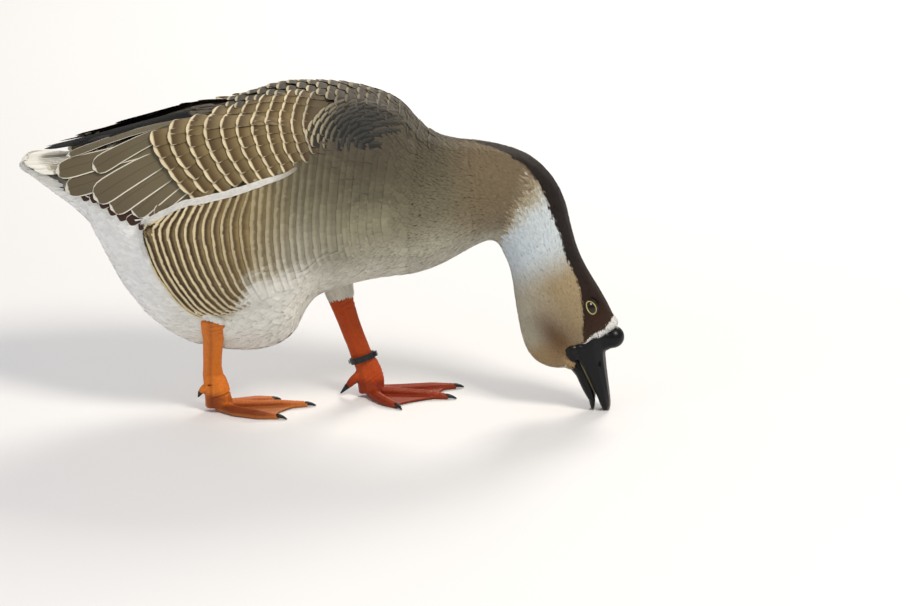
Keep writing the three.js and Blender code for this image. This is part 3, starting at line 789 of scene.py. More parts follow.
# Random places on the form's chosen faces, thinned so that none is nearer another than the spacing
def scatter(chosen, spacing, tries=6):
    corners = formPoints[formFaces[chosen]]
    size = np.linalg.norm(np.cross(corners[:, 1] - corners[:, 0], corners[:, 3] - corners[:, 0]), axis=1)
    wanted = int(tries * size.sum() / (spacing * mm) ** 2)
    pick = chance.choice(len(corners), wanted, p=size / size.sum())
    u, v = chance.random((2, wanted, 1))
    c = corners[pick]
    places = (c[:, 0] * (1 - u) + c[:, 1] * u) * (1 - v) + (c[:, 3] * (1 - u) + c[:, 2] * u) * v
    tree = KDTree(wanted)
    for i, place in enumerate(places):
        tree.insert(place, i)
    tree.balance()
    free = np.ones(wanted, bool)
    kept = []
    for i in range(wanted):
        if free[i]:
            kept.append(i)
            for _, j, _ in tree.find_range(places[i], spacing * mm):
                free[j] = False
    return places[kept]


# where the feathers of the shoulder fan out from, and how far, in metres
fanOut = {"at": (0.062, 0.074, 0.33), "reach": 0.055, "strength": 1.6}


# Direction in which feathers lie: back from the face along the spine, fanning out over the shoulder
def lie(points, normals):
    _, _, ahead = bodyPlace(points)
    trunk = smooth(points[:, 0] / mm, 150, 60)[:, None]
    way = ahead * (1 - trunk) + np.array([-1, 0, 0.0]) * trunk
    side = np.where(points[:, 1:2] < 0, -1, 1) * np.array([0, 1, 0]) + np.array([1, 0, 1])
    off = points * side - fanOut["at"]
    fan = unit(off)
    share = bell(np.linalg.norm(off, axis=1), 0, fanOut["reach"])
    share = share * smooth(-fan[:, 0], -0.6, 0.2) * smooth(fan[:, 2], -0.4, 0.3)
    return laidFlat(way + fan * side * (fanOut["strength"] * share)[:, None], normals)


faceMiddles = formPoints[formFaces].mean(axis=1)
nodeTree, nodeOwners = treeOf(frame["nodes"])
faceOwners = nodeOwners[[nodeTree.find_nearest(middle)[2] for middle in faceMiddles]]
faceAlong, faceAround, _ = bodyPlace(faceMiddles)
faceX, faceY, faceZ = faceMiddles.T / mm
upward = faceNormals[:, 2]


def ownedBy(*nodes):
    return np.isin(faceOwners, nodes)


# no feather's root or tip comes nearer than this to the eyes and to the bare corners of the mouth, in mm
bare = {
    "eyes": {"at": [middleOf(f"eye_{side}") for side in sides], "root": 9.4, "tip": 8.8},
    "mouth": {"at": np.array([(285.5, -20, 76), (285.5, 20, 76)]) * mm, "root": 6.2, "tip": 5.5},
}


def clearOf(place, points, reach):
    spots = np.array(bare[place]["at"])
    return np.linalg.norm(points[:, None] - spots[None], axis=2).min(axis=1) / mm > reach


# small feathers: spacing, length, half width, and depth of the root under the form, in mm, and the slot;
# some sink as a whole, in mm, lie toward a fixed way, or have a lighter rim
plumage = {
    "Face": {"kind": "tuft", "sizes": (1.2, 3.8, 0.85, 0.7), "slot": "plumage_head"},
    "Head": {"kind": "tuft", "sizes": (1.6, 6, 1.25, 0.9), "slot": "plumage_head"},
    "Neck": {"kind": "tuft", "sizes": (2.0, 8.5, 1.7, 1.3), "slot": "plumage_neck"},
    "NeckBase": {"kind": "tuft", "sizes": (2.6, 12, 2.4, 1.7), "slot": "plumage_neck"},
    "Breast": {"kind": "body", "sizes": (3.75, 18, 4.0, 1.6), "slot": "plumage_breast", "rim": 1.1},
    "Belly": {"kind": "body", "sizes": (4.4, 20, 4.2, 1.5), "slot": "plumage_white"},
    "Thighs": {"kind": "body", "sizes": (3.2, 15, 3.2, 1.3), "slot": "plumage_white",
               "toward": (0.15, 0, -1)},
    "Vent": {"kind": "body", "sizes": (4.2, 20, 4.4, 1.5), "slot": "plumage_white", "sink": 0.2},
    "UnderFlank": {"kind": "body", "sizes": (6.5, 22, 5.6, 1.7), "slot": "plumage_white", "sink": 2.4},
    "Rump": {"kind": "body", "sizes": (5.5, 24, 5, 1.5), "slot": "plumage_back", "sink": 5.0},
}
plumageKinds = {"tuft": (downyPlumage, 2), "body": (softPlumage, 3)}  # material, and steps along a feather
disorder = {
    "wander": 0.07,  # how far a feather turns from the lie
    "length": 0.1,  # share by which lengths differ
    "lean": 0.04,  # how far one edge stands over the other
}
rimShift = 1.06  # the rim's tint next to the web's


# Scattered plumage on the form's chosen faces
def layPlumage(name, chosen, colors=coatColor):
    one = plumage[name]
    material, steps = plumageKinds[one["kind"]]
    spacing, length, half, depth = one["sizes"]
    places, normals = onForm(scatter(chosen, spacing))
    if "toward" in one:
        heading = np.tile(np.array(one["toward"], float), (len(places), 1))
    else:
        heading = lie(places, normals)
    aside = np.cross(heading, normals)
    heading = unit(heading + aside * chance.normal(0, disorder["wander"], (len(places), 1)))
    uneven = chance.normal(1, disorder["length"], len(places)).clip(0.7, 1.3)
    paths, ups = walk(places, heading, length * uneven * mm, steps)
    clear = np.ones(len(paths), bool)
    for place, gap in bare.items():
        clear &= clearOf(place, paths[:, 0], gap["root"]) & clearOf(place, paths[:, -1], gap["tip"])
    paths, ups = paths[clear] - ups[clear] * one.get("sink", 0.0) * mm, ups[clear]
    tint = colors(paths.mean(axis=1))
    rim = np.clip(tint * one.get("rim", rimShift), 0, 0.9)
    piece = layVanes(f"plumage{name}", one["kind"], paths, ups, half, tint, rim, depth,
                     spread=chance.normal(0, disorder["lean"], len(paths)))
    finishPiece(piece, material)


headNeck = ownedBy("head", "neck_upper", "neck_middle", "neck_lower",
                   "bill_upper", "bill_lower", "bill_knob")
layPlumage("Face", headNeck & clearOf("eyes", faceMiddles, 9.0) & (faceAlong < 78), tuftColor)
layPlumage("Head", headNeck & (faceAlong >= 78) & (faceAlong < 150), tuftColor)
layPlumage("Neck", headNeck & (faceAlong >= 150) & (faceAlong < 245), tuftColor)
layPlumage("NeckBase", headNeck & (faceAlong >= 245), tuftColor)

# plumage of the body

trunk, flanks = ownedBy("trunk"), ownedBy(*bothSides("flank"))
layPlumage("Breast", ownedBy("breast") | trunk & (faceX > -10) & (upward < 0.5))
tucked = (faceX > -290) & (faceX < -236) & (faceZ > 259) & (np.abs(faceY) > 26)  # under the folded wings
under = trunk & (faceX <= -10) & (upward < 0.6) | ownedBy("tail") & (upward < 0.2)
layPlumage("Belly", under & ~tucked)
layPlumage("Thighs", ownedBy(*bothSides("thigh", "shank")))


# where each shank leaves the thigh: its ankle, its axis, its top, and how far that moves out to the belly's
# side
def shankLine(side, sign):
    shank = getPoints(frame["nodes"][f"shank_{side}"])
    top = shank[shank[:, 2] > shank[:, 2].max() - 0.008].mean(axis=0)
    ankle = shank[shank[:, 2] < shank[:, 2].min() + 0.008].mean(axis=0)
    axis = unit(top - ankle)
    hem = ankle + axis * (hems[f"thigh_{side}"] - ankle[2]) / axis[2]
    spot, _ = castIn(formTree, hem[0], hem[2], sign)
    shift = np.zeros(3)
    if side == "right" and spot is not None:
        shift[0] = 0.007
        shift[1] = sign * max(0.0, abs(spot.y) - 0.005 - abs(hem[1]))
    return ankle, axis, hem + shift, shift


cuff = {
    # round the far leg: half widths in mm, then rise over the hem and reach of each layer
    "half": (19, 14), "layers": [(25, 14), (20, 14), (15, 14), (10, 13), (6, 12), (2, 10)], "count": 60,
    # over the near leg: rise of each row, half the row's width, its slope, and the leg's half widths, in mm
    "rows": [0, 1.8, 3.6], "across": 34, "reach": 20, "slope": -0.42, "leg": (15, 10), "long": 6.5,
    "width": 1.8,  # half width of one feather, mm
}


# short down round the top of the far shank, which hangs clear of the belly
def cuffRing(ankle, hem):
    axis = unit(ankle - hem)
    across = unit(np.cross(axis, (0, 1, 0)))
    aside = np.cross(axis, across)
    long, wide = np.array(cuff["half"]) * mm
    middle = hem - np.array([2.5 * mm, 0, 0])
    made = []
    for layer, (rise, reach) in enumerate(cuff["layers"]):
        for turn in np.linspace(0, 2 * math.pi, cuff["count"], endpoint=False) + 0.07 * layer:
            turn += chance.normal(0, 0.03)
            outward = across * math.cos(turn) + aside * math.sin(turn)
            off = across * math.cos(turn) * long + aside * math.sin(turn) * wide
            start = middle - axis * rise * mm + off * (1.02 - 0.03 * layer)
            made.append((start, outward, start + axis * (reach + chance.normal(0, 0.9)) * mm - off * 0.08))
    return made


# belly feathers that overlap the top of the near shank, where it comes out of the belly's side
def cuffRows(ankle, hem, sign):
    lean = (hem[1] - ankle[1]) / (hem[2] - ankle[2])
    made = []

    def outermost(x, z, proud):
        spot, normal = castIn(formTree, x, z, sign)
        share = max(0, 1 - ((x - hem[0]) / mm / cuff["leg"][0]) ** 2)
        shank = abs(hem[1] + (z - hem[2]) * lean) + cuff["leg"][1] * math.sqrt(share) * mm * (share > 0)
        return np.array([x, sign * (max(abs(spot.y), shank) + proud * mm), z]), np.array(normal)

    for row, rise in enumerate(cuff["rows"]):
        for u in np.linspace(-cuff["reach"], cuff["reach"], cuff["across"]) + 0.4 * (row % 2):
            x = hem[0] + (u + chance.normal(0, 0.2)) * mm
            low = hem[2] + (cuff["slope"] * u + rise + chance.normal(0, 0.7)) * mm
            start, normal = outermost(x, low + cuff["long"] * mm, -0.1)
            tip, _ = outermost(x + chance.normal(0, 0.5) * mm, low, 0.6 + 0.1 * row)
            made.append((start, unit(normal + np.array([0, sign, 0])), tip))
    return made


for side, sign in sides.items():
    ankle, _, hem, _ = shankLine(side, sign)
    made = cuffRows(ankle, hem, sign) if side == "right" else cuffRing(ankle, hem)
    starts, ups, tips = np.array(made).transpose(1, 0, 2)
    paths = np.stack([starts, (starts + tips) / 2 + ups * 0.5 * mm, tips], axis=1)
    tint = coatColor(starts)
    piece = layVanes(f"cuff{side.title()}", "tuft", paths, np.repeat(ups[:, None], 3, axis=1), cuff["width"],
                     tint, tint * 1.05, 0.6)
    finishPiece(piece, softPlumage)

# degrees from the back and mm along the trunk
rearEdge = [(86, -184), (94, -198), (107, -192), (122, -178), (138, -150), (143, -123), (150, -60)]
behind = flanks & (faceAround > 80) & (faceX < follow(rearEdge, faceAround) + 7)
layPlumage("Vent", behind)
layPlumage("UnderFlank", flanks & ~behind & ((faceX < -150) | (faceAround > 118)))


def rumpColor(points):
    x = points[:, 0] / mm
    return ramp(-x, [(200, "#4b4336"), (250, "#6d6553"), (285, "#a39d88"), (330, "#cfcbbb")])


layPlumage("Rump", ownedBy(*bothSides("tertials", "primaries")) & (faceX > -232) & (upward > 0.5), rumpColor)


# rows of feathers on the wing and flank, with their tips on curves round the body

flank = {
    # mm along the trunk and degrees from the back: the rearmost row, and the foremost of the marked ones
    "rear": [(-184, 86), (-198, 94), (-192, 107), (-178, 122), (-150, 138), (-123, 143), (-98, 142)],
    "fore": [(-74, 62), (-82, 80), (-81, 96), (-76, 108), (-70, 118), (-63, 125), (-54, 131)],
    "marked": 13, "gather": 1.15,  # marked rows, and how much closer they stand to the rear
    "front": (-72, 80, 8.6),  # rows before those: from, to and spacing
    "shape": [(40, 9), (55, 5), (75, 1), (90, 0), (105, 2), (120, 8), (132, 15)],
    "top": [(-193, 89), (-185, 86), (-169, 80), (-146, 73), (-123, 69.5), (-83, 64), (-55, 60), (-32, 57),
            (-19, 53.6), (-10, 50), (3, 43), (16, 40), (60, 50), (120, 54)],
    "bottom": [(-64, 129), (-20, 124), (45, 111), (112, 93)],
    "step": 7.0,  # mm between feathers in a row
}

coverts = {
    "rows": [-190, -169, -148, -128, -109, -91, -74, -58, -43, -29, -16],  # mm, tips at 30 degrees
    "shape": [(8, 9), (16, 5), (24, 1), (31, 0), (38, 3), (46, 10), (54, 21), (62, 34), (72, 54)],
    "top": [(-190, 33), (-169, 21), (-148, 14), (-128, 10)],
    "bottom": [(-190, 72), (-150, 71), (-100, 67), (-40, 60), (0, 50), (20, 42)],  # degrees
    "half": [(-190, 14), (-100, 12), (-20, 9), (20, 7.5)],  # half widths by x, mm
}

# the feathers of each kind of row: half width and length by x, depth of the root and lift of the tip, in mm
rowLooks = {
    "coverts": {"kind": "covert", "half": coverts["half"], "length": [(-190, 40), (0, 24)], "depth": 2.8,
                "lift": [(-190, 4.2), (-130, 2.0), (-60, 0.6)], "roll": 0.04, "wander": 0.03,
                "material": scalePlumage, "slot": "wing_coverts"},
    "flankFront": {"kind": "row", "half": [(0, 7.2)], "length": [(0, 26)], "depth": 2.2, "lift": 0.15,
                   "roll": 0.01, "wander": 0.03, "material": streakPlumage, "slot": "flank"},
    "flank": {"kind": "row", "half": [(0, 7.2)], "length": [(0, 26)], "depth": 2.4, "lift": 0.5,
              "roll": 0.012, "wander": 0.012, "material": barredPlumage, "slot": "flank"},
    "flankEdge": {"kind": "body", "half": [(-190, 1.3), (0, 1.1)], "length": [(0, 12)], "depth": 0.8,
                  "lift": 2.2, "roll": 0.0, "wander": 0.04, "material": softPlumage, "slot": "flank"},
}
rowPatch = 0.006  # size of a feather on the OFBake map


# Places along one curve a step apart, with the directions across it towards the tail
def alongCurve(curve, side, step, first):
    fine = curveThrough(np.array(curve, float), 8)
    found = [onTrunk(x, degrees, side) for x, degrees in fine]
    line, up = np.array([f[0] for f in found]), np.array([f[1] for f in found])
    run = np.concatenate([[0], np.cumsum(np.linalg.norm(np.diff(line, axis=0), axis=1))]) / mm
    eased = line.copy()
    for _ in range(3):
        eased[1:-1] = (eased[:-2] + eased[1:-1] + eased[2:]) / 3
    back = unit(np.cross(np.gradient(eased, axis=0), up)) * -side
    at = np.arange(first, run[-1], step)
    return [np.stack([np.interp(at, run, v[:, i]) for i in range(v.shape[1])], axis=1)
            for v in (line, back, fine)]


def gatherBands(curves, side, steps):
    found = [alongCurve(curve, side, step, step * ((0.2 + 0.37 * k) % 1))
             for k, (curve, step) in enumerate(zip(curves, steps))]
    return [np.vstack(parts) for parts in zip(*found)]


def layRows(label, side, made, colors, bars=None, nodes=()):
    one, sign = rowLooks[label], sides[side]
    spots, headings, places = made
    x, degrees = places.T
    headings = unit(headings + chance.normal(0, one["wander"], headings.shape))
    reach = follow(one["length"], x) * chance.normal(1, 0.03, len(x)) * mm
    spots = spots + headings * chance.normal(0, 0.3 * mm, (len(x), 1))
    paths, ups = walkBack(spots, headings, reach, 5)
    tint, rim = colors(x, degrees, spots)
    strength = bars(x, degrees) if bars else 1.0
    rise = one["lift"]
    if isinstance(rise, list):
        rise = follow(rise, x) * (0.25 + 0.75 * smooth(degrees, 18, 36))
        rise = rise * smooth(follow(flank["top"], x) - degrees, 1, 12)
    lean = sign * one["roll"] + chance.normal(0, 0.012, len(paths))
    piece = layVanes(f"{label}{side.title()}", one["kind"], paths, ups, follow(one["half"], x), tint, rim,
                     one["depth"], rise, bars=strength, spread=lean, patch=rowPatch)
    finishPiece(piece, one["material"], nodes)


def covertCurves():
    curves, steps = [], []
    for x in coverts["rows"]:
        low = follow(coverts["bottom"], x)
        curve = []
        for degrees in np.arange(follow(coverts["top"], x), low + 3, 3):
            at = x + follow(coverts["shape"], degrees)
            if degrees < follow(flank["top"], at) + 2.5:
                curve.append((at, degrees))
        curves.append(curve)
        steps.append(1.3 * follow(coverts["half"], x))
    return curves, steps


def covertColor(x, degrees, spots):
    # forward towards the shoulder the coverts are painted in shade, dark grey with grey fringes; at the rear
    # they keep their brown webs and cream fringes
    dark = smooth(x, -45, 10)
    shade = ramp(dark, [(0, "#86744e"), (1, "#45413a")])
    rim = ramp(dark, [(0, "#e8d8b2"), (1, "#8f8d80")])
    return shade * chance.normal(1, 0.06, (len(x), 1)), rim


def markedCurves():
    rear, fore = np.array(flank["rear"], float), np.array(flank["fore"], float)
    curves = []
    for share in np.linspace(0, 1, flank["marked"]) ** flank["gather"]:
        curve = rear + (fore - rear) * share
        curve[0, 1] = follow(flank["top"], curve[0, 0]) + 2
        curve[:, 0] += chance.normal(0, 0.5)
        curves.append(curve)
    return curves, [flank["step"]] * len(curves)


def frontCurves():
    curves = []
    rows = np.arange(*flank["front"])
    for x in rows + chance.normal(0, 0.9, len(rows)):
        low = follow(flank["bottom"], x)
        stops = np.arange(follow(flank["top"], x) - 2, low, 6)
        curves.append([(x + follow(flank["shape"], degrees), degrees) for degrees in stops])
    return curves, [flank["step"]] * len(curves)


def flankColor(x, degrees, spots):
    fade = smooth(x, -10, -90) * smooth((x + 150) / 100 + (degrees - 110) / 35, 1.5, 1.15)
    fade = fade * (1 - smooth(x, -92, -74) * smooth(degrees, 106, 122))
    fade = fade * (1 - smooth(x, -104, -84) * smooth(degrees, 128, 138))
    base = coatColor(spots)
    above = smooth(degrees, 126, 100)
    base = base + (ramp(degrees, sideRamp) - base) * (0.85 * above)[:, None]
    base = paint(base, "shade", 0.8 * shoulderShade(x, degrees) * above)
    lift = (np.interp(x, [-60, 0, 60], [0.16, 0.08, 0.0]) * smooth(degrees, 128, 108))[:, None]
    shade = paint(base * (1 - lift), "#8f7b52", fade)
    rim = paint(np.clip(base * (1 + 1.5 * lift), 0, 0.8), "#b3a27a", 0.8 * fade)
    return shade, paint(rim, "#e6d5ab", fade * smooth(x, -65, -150))


def flankBars(x, degrees):
    strength = follow([(-150, 1), (-100, 0.75), (-60, 0.5), (-10, 0.35), (60, 0.05)], x)
    strength = strength * smooth(degrees, 150, 132)
    strength = strength * (1 + 0.35 * np.sin(0.71 * x) * smooth(x, -70, -50))
    strength = strength * (1 - smooth(x, -104, -84) * smooth(degrees, 128, 138))
    return strength * (1 - smooth(x, -92, -74) * smooth(degrees, 102, 120))


# the white edge where the flank overlaps the wing, and round its rear corner: fine feathers that lie along
# it, on strands that stand apart by the shift
def edgePlaces(side):
    top = [(x, degrees, 0, 1) for x, degrees in reversed(flank["top"]) if -186 < x < -15]
    curve = top + [(-190, 88, 0.8, 0.7), (-196, 93, 1.5, 0.3), (-198, 98, 1.8, 0), (-196, 105, 1.8, 0),
                   (-191, 112, 1.8, -0.3)]
    found = []
    for shift in (-0.9, 0.0, 0.9, 1.8):
        moved = []
        for x, degrees, backward, down in curve:
            narrow = 1 - 0.6 * smooth(x, -80, -20)
            moved.append((x + backward * shift, degrees + down * shift * narrow))
        line, back, places = alongCurve(moved, side, 1.7, 0)
        _, up = onForm(line)
        found.append((line, unit(np.cross(up, back)) * side, places))
    return [np.vstack(parts) for parts in zip(*found)]


def edgeColor(x, degrees, spots):
    dim = smooth(x, -55, -8)
    white = ramp(dim, [(0, "#f8f6ef"), (1, "#8a8169")])
    return white * 0.98, white


shoulder = {
    "x": 60, "degrees": 42,  # the rings' middle
    "rings": (11, 78, 7),  # from, to and step, mm
    "half": 8.6, "length": 21, "depth": 2.6, "lift": 0.5,  # of each feather, mm
    "rows": (-108, 125, 11.5), "step": 7,  # rows over the back in mm, and degrees between feathers
}


# Tips on rings round the shoulder; the feathers point outwards behind it and upwards over it
def shoulderRows(side):
    middle, normal = onTrunk(shoulder["x"], shoulder["degrees"], side)
    back = unit(np.array([-1.0, 0, 0]) + normal * normal[0])
    up = np.cross(normal, back)
    up = up if up[2] > 0 else -up
    spots, headings = [], []
    for k, ring in enumerate(np.arange(*shoulder["rings"])):
        step = 1.45 * shoulder["half"] / ring
        angle = 0.05 + (k % 2) * step / 2
        while angle < 2.4:
            way = back * math.cos(angle) + up * math.sin(angle)
            out = unit(way + chance.normal(0, 0.03, 3))
            lean = min(angle, 1.6)
            spots.append(middle + out * ring * mm)
            headings.append(back * math.cos(lean) + up * math.sin(lean) + back * 0.2)
            angle += step
    return np.array(spots), np.array(headings)


def layMantle(side, sign):
    spots, headings = shoulderRows(sign)
    rows = []
    for k, x in enumerate(np.arange(*shoulder["rows"])):
        for degrees in np.arange(0.5 + (k % 2) * 3.5, np.interp(x, [0, 40], [13.5, 24]), shoulder["step"]):
            place, _ = onTrunk(x + chance.normal(0, 0.8), degrees + chance.normal(0, 0.4), sign)
            rows.append(place)
    spots = np.vstack([spots, rows])
    headings = np.vstack([headings, np.tile([-1.0, 0, 0], (len(rows), 1))])
    paths, ups = walkBack(spots, unit(headings), np.full(len(spots), shoulder["length"] * mm), 4)
    tint, rim = mantleColor(paths[:, -1])
    lean = 0.03 * sign + chance.normal(0, 0.02, len(paths))
    piece = layVanes(f"mantle{side.title()}", "covert", paths, ups, shoulder["half"], tint, rim,
                     shoulder["depth"], shoulder["lift"], spread=lean, patch=rowPatch)
    finishPiece(piece, mantlePlumage)


def mantleColor(points):
    side = np.abs(points[:, 1])
    middle, _ = onTrunk(shoulder["x"], shoulder["degrees"], 1)
    off = np.linalg.norm(np.stack([points[:, 0], side, points[:, 2]], axis=1) - middle, axis=1) / mm
    # darker towards the shoulder's middle, near black with bluish grey fringes: partly the mantle's own
    # dusky colour, partly painted shade
    dark = smooth(off, 95, 30)
    tint = ramp(dark, [(0, "#4f483b"), (0.5, "#272521"), (1, "#151515")])
    rim = ramp(dark, [(0, "#8a7d64"), (0.6, "#494741"), (1, "#313433")])
    rim = paint(rim, "#d8cba8", 0.7 * smooth(points[:, 0] / mm, 30, -20))
    coat, front = coatColor(points), smooth(points[:, 0] / mm, 58, 114)[:, None]
    return tint + (coat * 0.9 - tint) * front, rim + (coat * 1.05 - rim) * front


for side, sign in sides.items():
    curves, steps = covertCurves()
    layRows("coverts", side, gatherBands(curves, sign, steps), covertColor, nodes=[f"wing_{side}"])
    layMantle(side, sign)
    curves, steps = frontCurves()
    layRows("flankFront", side, gatherBands(curves, sign, steps), flankColor, flankBars)
    curves, steps = markedCurves()
    layRows("flank", side, gatherBands(curves, sign, steps), flankColor, flankBars, [f"flank_{side}"])
    layRows("flankEdge", side, edgePlaces(sign), edgeColor)


# long feathers, each given by the places of its root and tip

# the surfaces that they lie on: the first two are met from the side, and the others from above
wholeTree, _ = treeOf(fleshNodes + layerNodes)
tailTree, _ = treeOf(["tail", "trunk"])
surfaces = {"side": wholeTree, "form": formTree, "above": wholeTree, "tail": tailTree}
fromSide = ("side", "form")
steepest = 0.45  # mm inwards for each mm along, on the side


# Path from root to tip over one of the surfaces; it doesn't follow sudden steps inwards
def longPath(surface, root, tip, bow, side, steps=12):
    root, tip = np.array(root, float), np.array(tip, float)
    aside = np.array([-(tip - root)[1], (tip - root)[0]]) / np.linalg.norm(tip - root)
    path, ups = [], []
    for t in np.linspace(0, 1, steps + 1):
        x, other = (root + (tip - root) * t + aside * bow * 4 * t * (1 - t)) * mm
        if surface in fromSide:
            place, normal = castIn(surfaces[surface], x, other, side)
        else:
            place, normal = castDown(surfaces[surface], x, side * other)
        if place is None and len(path) > 1:
            place, normal = 2 * path[-1] - path[-2], ups[-1]
        if place is None:
            continue
        place, normal = np.array(place), np.array(normal)
        if path and surface in fromSide:
            least = side * path[-1][1] - steepest * np.linalg.norm((tip - root) / steps) * mm
            if side * place[1] < least:
                place[1] = side * least
                normal = ups[-1]
        path.append(place)
        ups.append(normal)
    path, ups = np.array(path), np.array(ups)
    for _ in range(6):
        ups[1:-1] = (ups[:-2] + ups[1:-1] + ups[2:]) / 3
        path[1:-1] = (path[:-2] + path[1:-1] + path[2:]) / 3
    ups[0], ups[-1] = ups[1], ups[-2]
    return path, unit(ups)


# tip x and z, root x and z, half width, bow and level over the form, in mm
tertials = [
    ((-299, 286), (-150, 331), 14, -2, 1.2), ((-287, 268), (-148, 316), 13, -2, 0.7),
    ((-254, 293), (-150, 345), 14, -3, 2.6), ((-252, 262), (-146, 325), 15, -4, 2.2),
    ((-232, 252), (-140, 312), 14, -4, 1.8), ((-206, 249), (-132, 306), 13, -4, 1.4),
    ((-190, 248), (-124, 300), 12, -4, 1.0), ((-178, 247), (-118, 296), 11, -4, 0.6),
    ((-287, 301), (-140, 350), 8, -3, 2.9),
]
# the tips of the secondaries, which show under the tertials
hiddenTips = [(-269, 260), (-258, 259.5), (-247, 254.5), (-236, 248), (-225, 242.5), (-213, 238),
              (-201, 235), (-189, 234.5)]
secondaries = []
for k, (x, z) in enumerate(hiddenTips):
    secondaries.append(((x, z - 0.5), (x + 40, z + 22), 7, -1, min(1, 0.35 * k - 0.2)))
# tip x and y, root x and y, half width, bow and level, in mm
primaries = [
    ((-318, 6), (-150, 14), 7, 3, 0.5), ((-303, 13), (-150, 20), 7.5, 3, 1.1),
    ((-285, 19), (-150, 26), 8, 3, 1.7), ((-264, 25), (-146, 32), 8, 3, 2.3),
    ((-240, 30), (-140, 38), 8, 2, 2.9),
]
# coverts over the root of the tail, in four rows
upperTail = []
for k in range(4):
    for j in range(4):
        across = 6 + 11 * j + 5 * (k % 2)
        tip, root = (-306 + 14 * k - 0.1 * across, across), (-264 + 14 * k, 0.75 * across)
        upperTail.append((tip, root, 6.5, 0, 1.1 + 0.5 * k))
tailQuills = []
for k, fan in enumerate(np.linspace(0, 1, 9)):
    tailQuills.append(((-345 + 26 * fan ** 2, 3 + 46 * fan), (-238, 2 + 22 * fan), 7.5, 0, 1.6 - 0.14 * k))

# how far they lie under their level, their roots' depth, their tips' lift and their thickness, in mm
longShared = {"base": 1.5, "depth": 2.0, "lift": 0.3, "thick": 0.4, "droop": 0.05, "patch": 0.1,
              "roll": 0.06}
# settle is the fall of the tips and sag that of the middles, in mm
longKinds = {
    "rumpCoverts": {"feathers": upperTail, "surface": "tail", "vane": "quill", "rim": "#d6d1c0",
                    "material": rumpVane, "slot": "plumage_back"},
    "secondaries": {"feathers": secondaries, "surface": "form", "vane": "quill", "tint": "#38180f",
                    "rim": "#ece5d2", "material": broadVane, "slot": "tertials"},
    "tertials": {"feathers": tertials, "surface": "side", "vane": "quill", "tint": "#6f654c",
                 "rim": "#ece5d2", "material": broadVane, "slot": "tertials"},
    "primaries": {"feathers": primaries, "surface": "above", "vane": "blade", "tint": "#0b0a09",
                  "rim": "#2a2622", "material": flightVane, "slot": "primaries",
                  "settle": 0.5, "sag": 2.5, "roll": -0.3},
    "tailQuills": {"feathers": tailQuills, "surface": "tail", "vane": "quill", "tint": "#8f8972",
                   "rim": "#eeece4", "material": tailVane, "slot": "plumage_white"},
}


def layLong(label, side, tint=None, nodes=()):
    one = {**longShared, **longKinds[label]}
    sign, feathers = sides[side], one["feathers"]
    made = [longPath(one["surface"], root, tip, bow, sign) for tip, root, _, bow, _ in feathers]
    paths, ups = np.array([path for path, _ in made]), np.array([up for _, up in made])
    half, level = np.array([f[2] for f in feathers]), np.array([f[4] for f in feathers])
    paths = paths + ups * (level - one["base"])[:, None, None] * mm
    t = np.linspace(0, 1, paths.shape[1])
    paths[:, :, 2] -= (one.get("settle", 0) * t ** 1.5 + one.get("sag", 0) * np.sin(math.pi * t)) * mm
    tint = toLinear(one["tint"]) if tint is None else tint
    piece = layVanes(f"{label}{side.title()}", one["vane"], paths, ups, half, tint, toLinear(one["rim"]),
                     one["depth"], one["lift"], thick=one["thick"], droop=one["droop"], patch=one["patch"],
                     spread=one["roll"] * sign)
    finishPiece(piece, one["material"], nodes)


def upperTailColor():
    across = np.array([tip[1] for tip, *_ in upperTail])
    across = across + chance.normal(0, 5, len(across))
    tint = ramp(across, [(0, "#7c735b"), (25, "#8f8770"), (45, "#cfcbbc")])
    return tint * chance.normal(1, 0.08, (len(across), 1))


for side in sides:
    layLong("rumpCoverts", side, upperTailColor())
    layLong("secondaries", side)
    layLong("tertials", side, nodes=[f"tertials_{side}"])
    layLong("primaries", side, nodes=[f"primaries_{side}"])
for side in sides:
    layLong("tailQuills", side)

# bare parts


# Horn, bare skin, eyes and the leg band: one colour or the piece's own tint, with a fine grain and, where
# cells gives their size in mm, raised scales or wrinkles
def bareMaterial(name, color, rough, scale, cells=0.0, grainDepth=0.25, coat=0.0, specular=0.4,
                 shades=(0.75, 1.3)):
    material, tree, shader = newMaterial(name)
    coords = addNode(tree, "TexCoord", {}, {}, out=3)
    grain = addNode(tree, "TexNoise", {}, {"Vector": coords, "Scale": 1 / (scale * mm), "Detail": 5.0})
    shade = addNode(tree, "MapRange", {}, {"Value": grain, "To Min": shades[0], "To Max": shades[1]})
    height = grain
    if cells:
        edge = addNode(tree, "TexVoronoi", {"feature": "DISTANCE_TO_EDGE"}, {
            "Vector": coords, "Scale": 1 / (cells * mm), "Randomness": 0.8})
        raised = addNode(tree, "MapRange", {}, {"Value": edge, "From Min": 0.0, "From Max": 0.16})
        dark = addNode(tree, "MapRange", {}, {"Value": raised, "To Min": 0.74, "To Max": 1.0})
        shade = addNode(tree, "Math", times, {0: shade, 1: dark})
        height = addNode(tree, "Math", timesPlus, {0: grain, 1: 0.3, 2: raised})
    tint = toLinear(color) if color else addNode(tree, "Attribute", {"attribute_name": "tint"}, {})
    scaled = addNode(tree, "VectorMath", scaleBy, {0: tint, "Scale": shade})
    tree.links.new(scaled, shader.inputs["Base Color"])
    gloss = addNode(tree, "MapRange", {}, {
        "Value": grain, "To Min": max(0.02, rough - 0.1), "To Max": rough + 0.15})
    tree.links.new(gloss, shader.inputs["Roughness"])
    shader.inputs["Coat Weight"].default_value = coat
    shader.inputs["Specular IOR Level"].default_value = specular
    raised = addNode(tree, "Bump", {}, {"Strength": grainDepth, "Distance": 0.3 * mm, "Height": height})
    tree.links.new(raised, shader.inputs["Normal"])
    return material


def tintPiece(piece, colors):
    writeColors(piece.data, "tint", np.clip(colors, 0, 1))


# bill

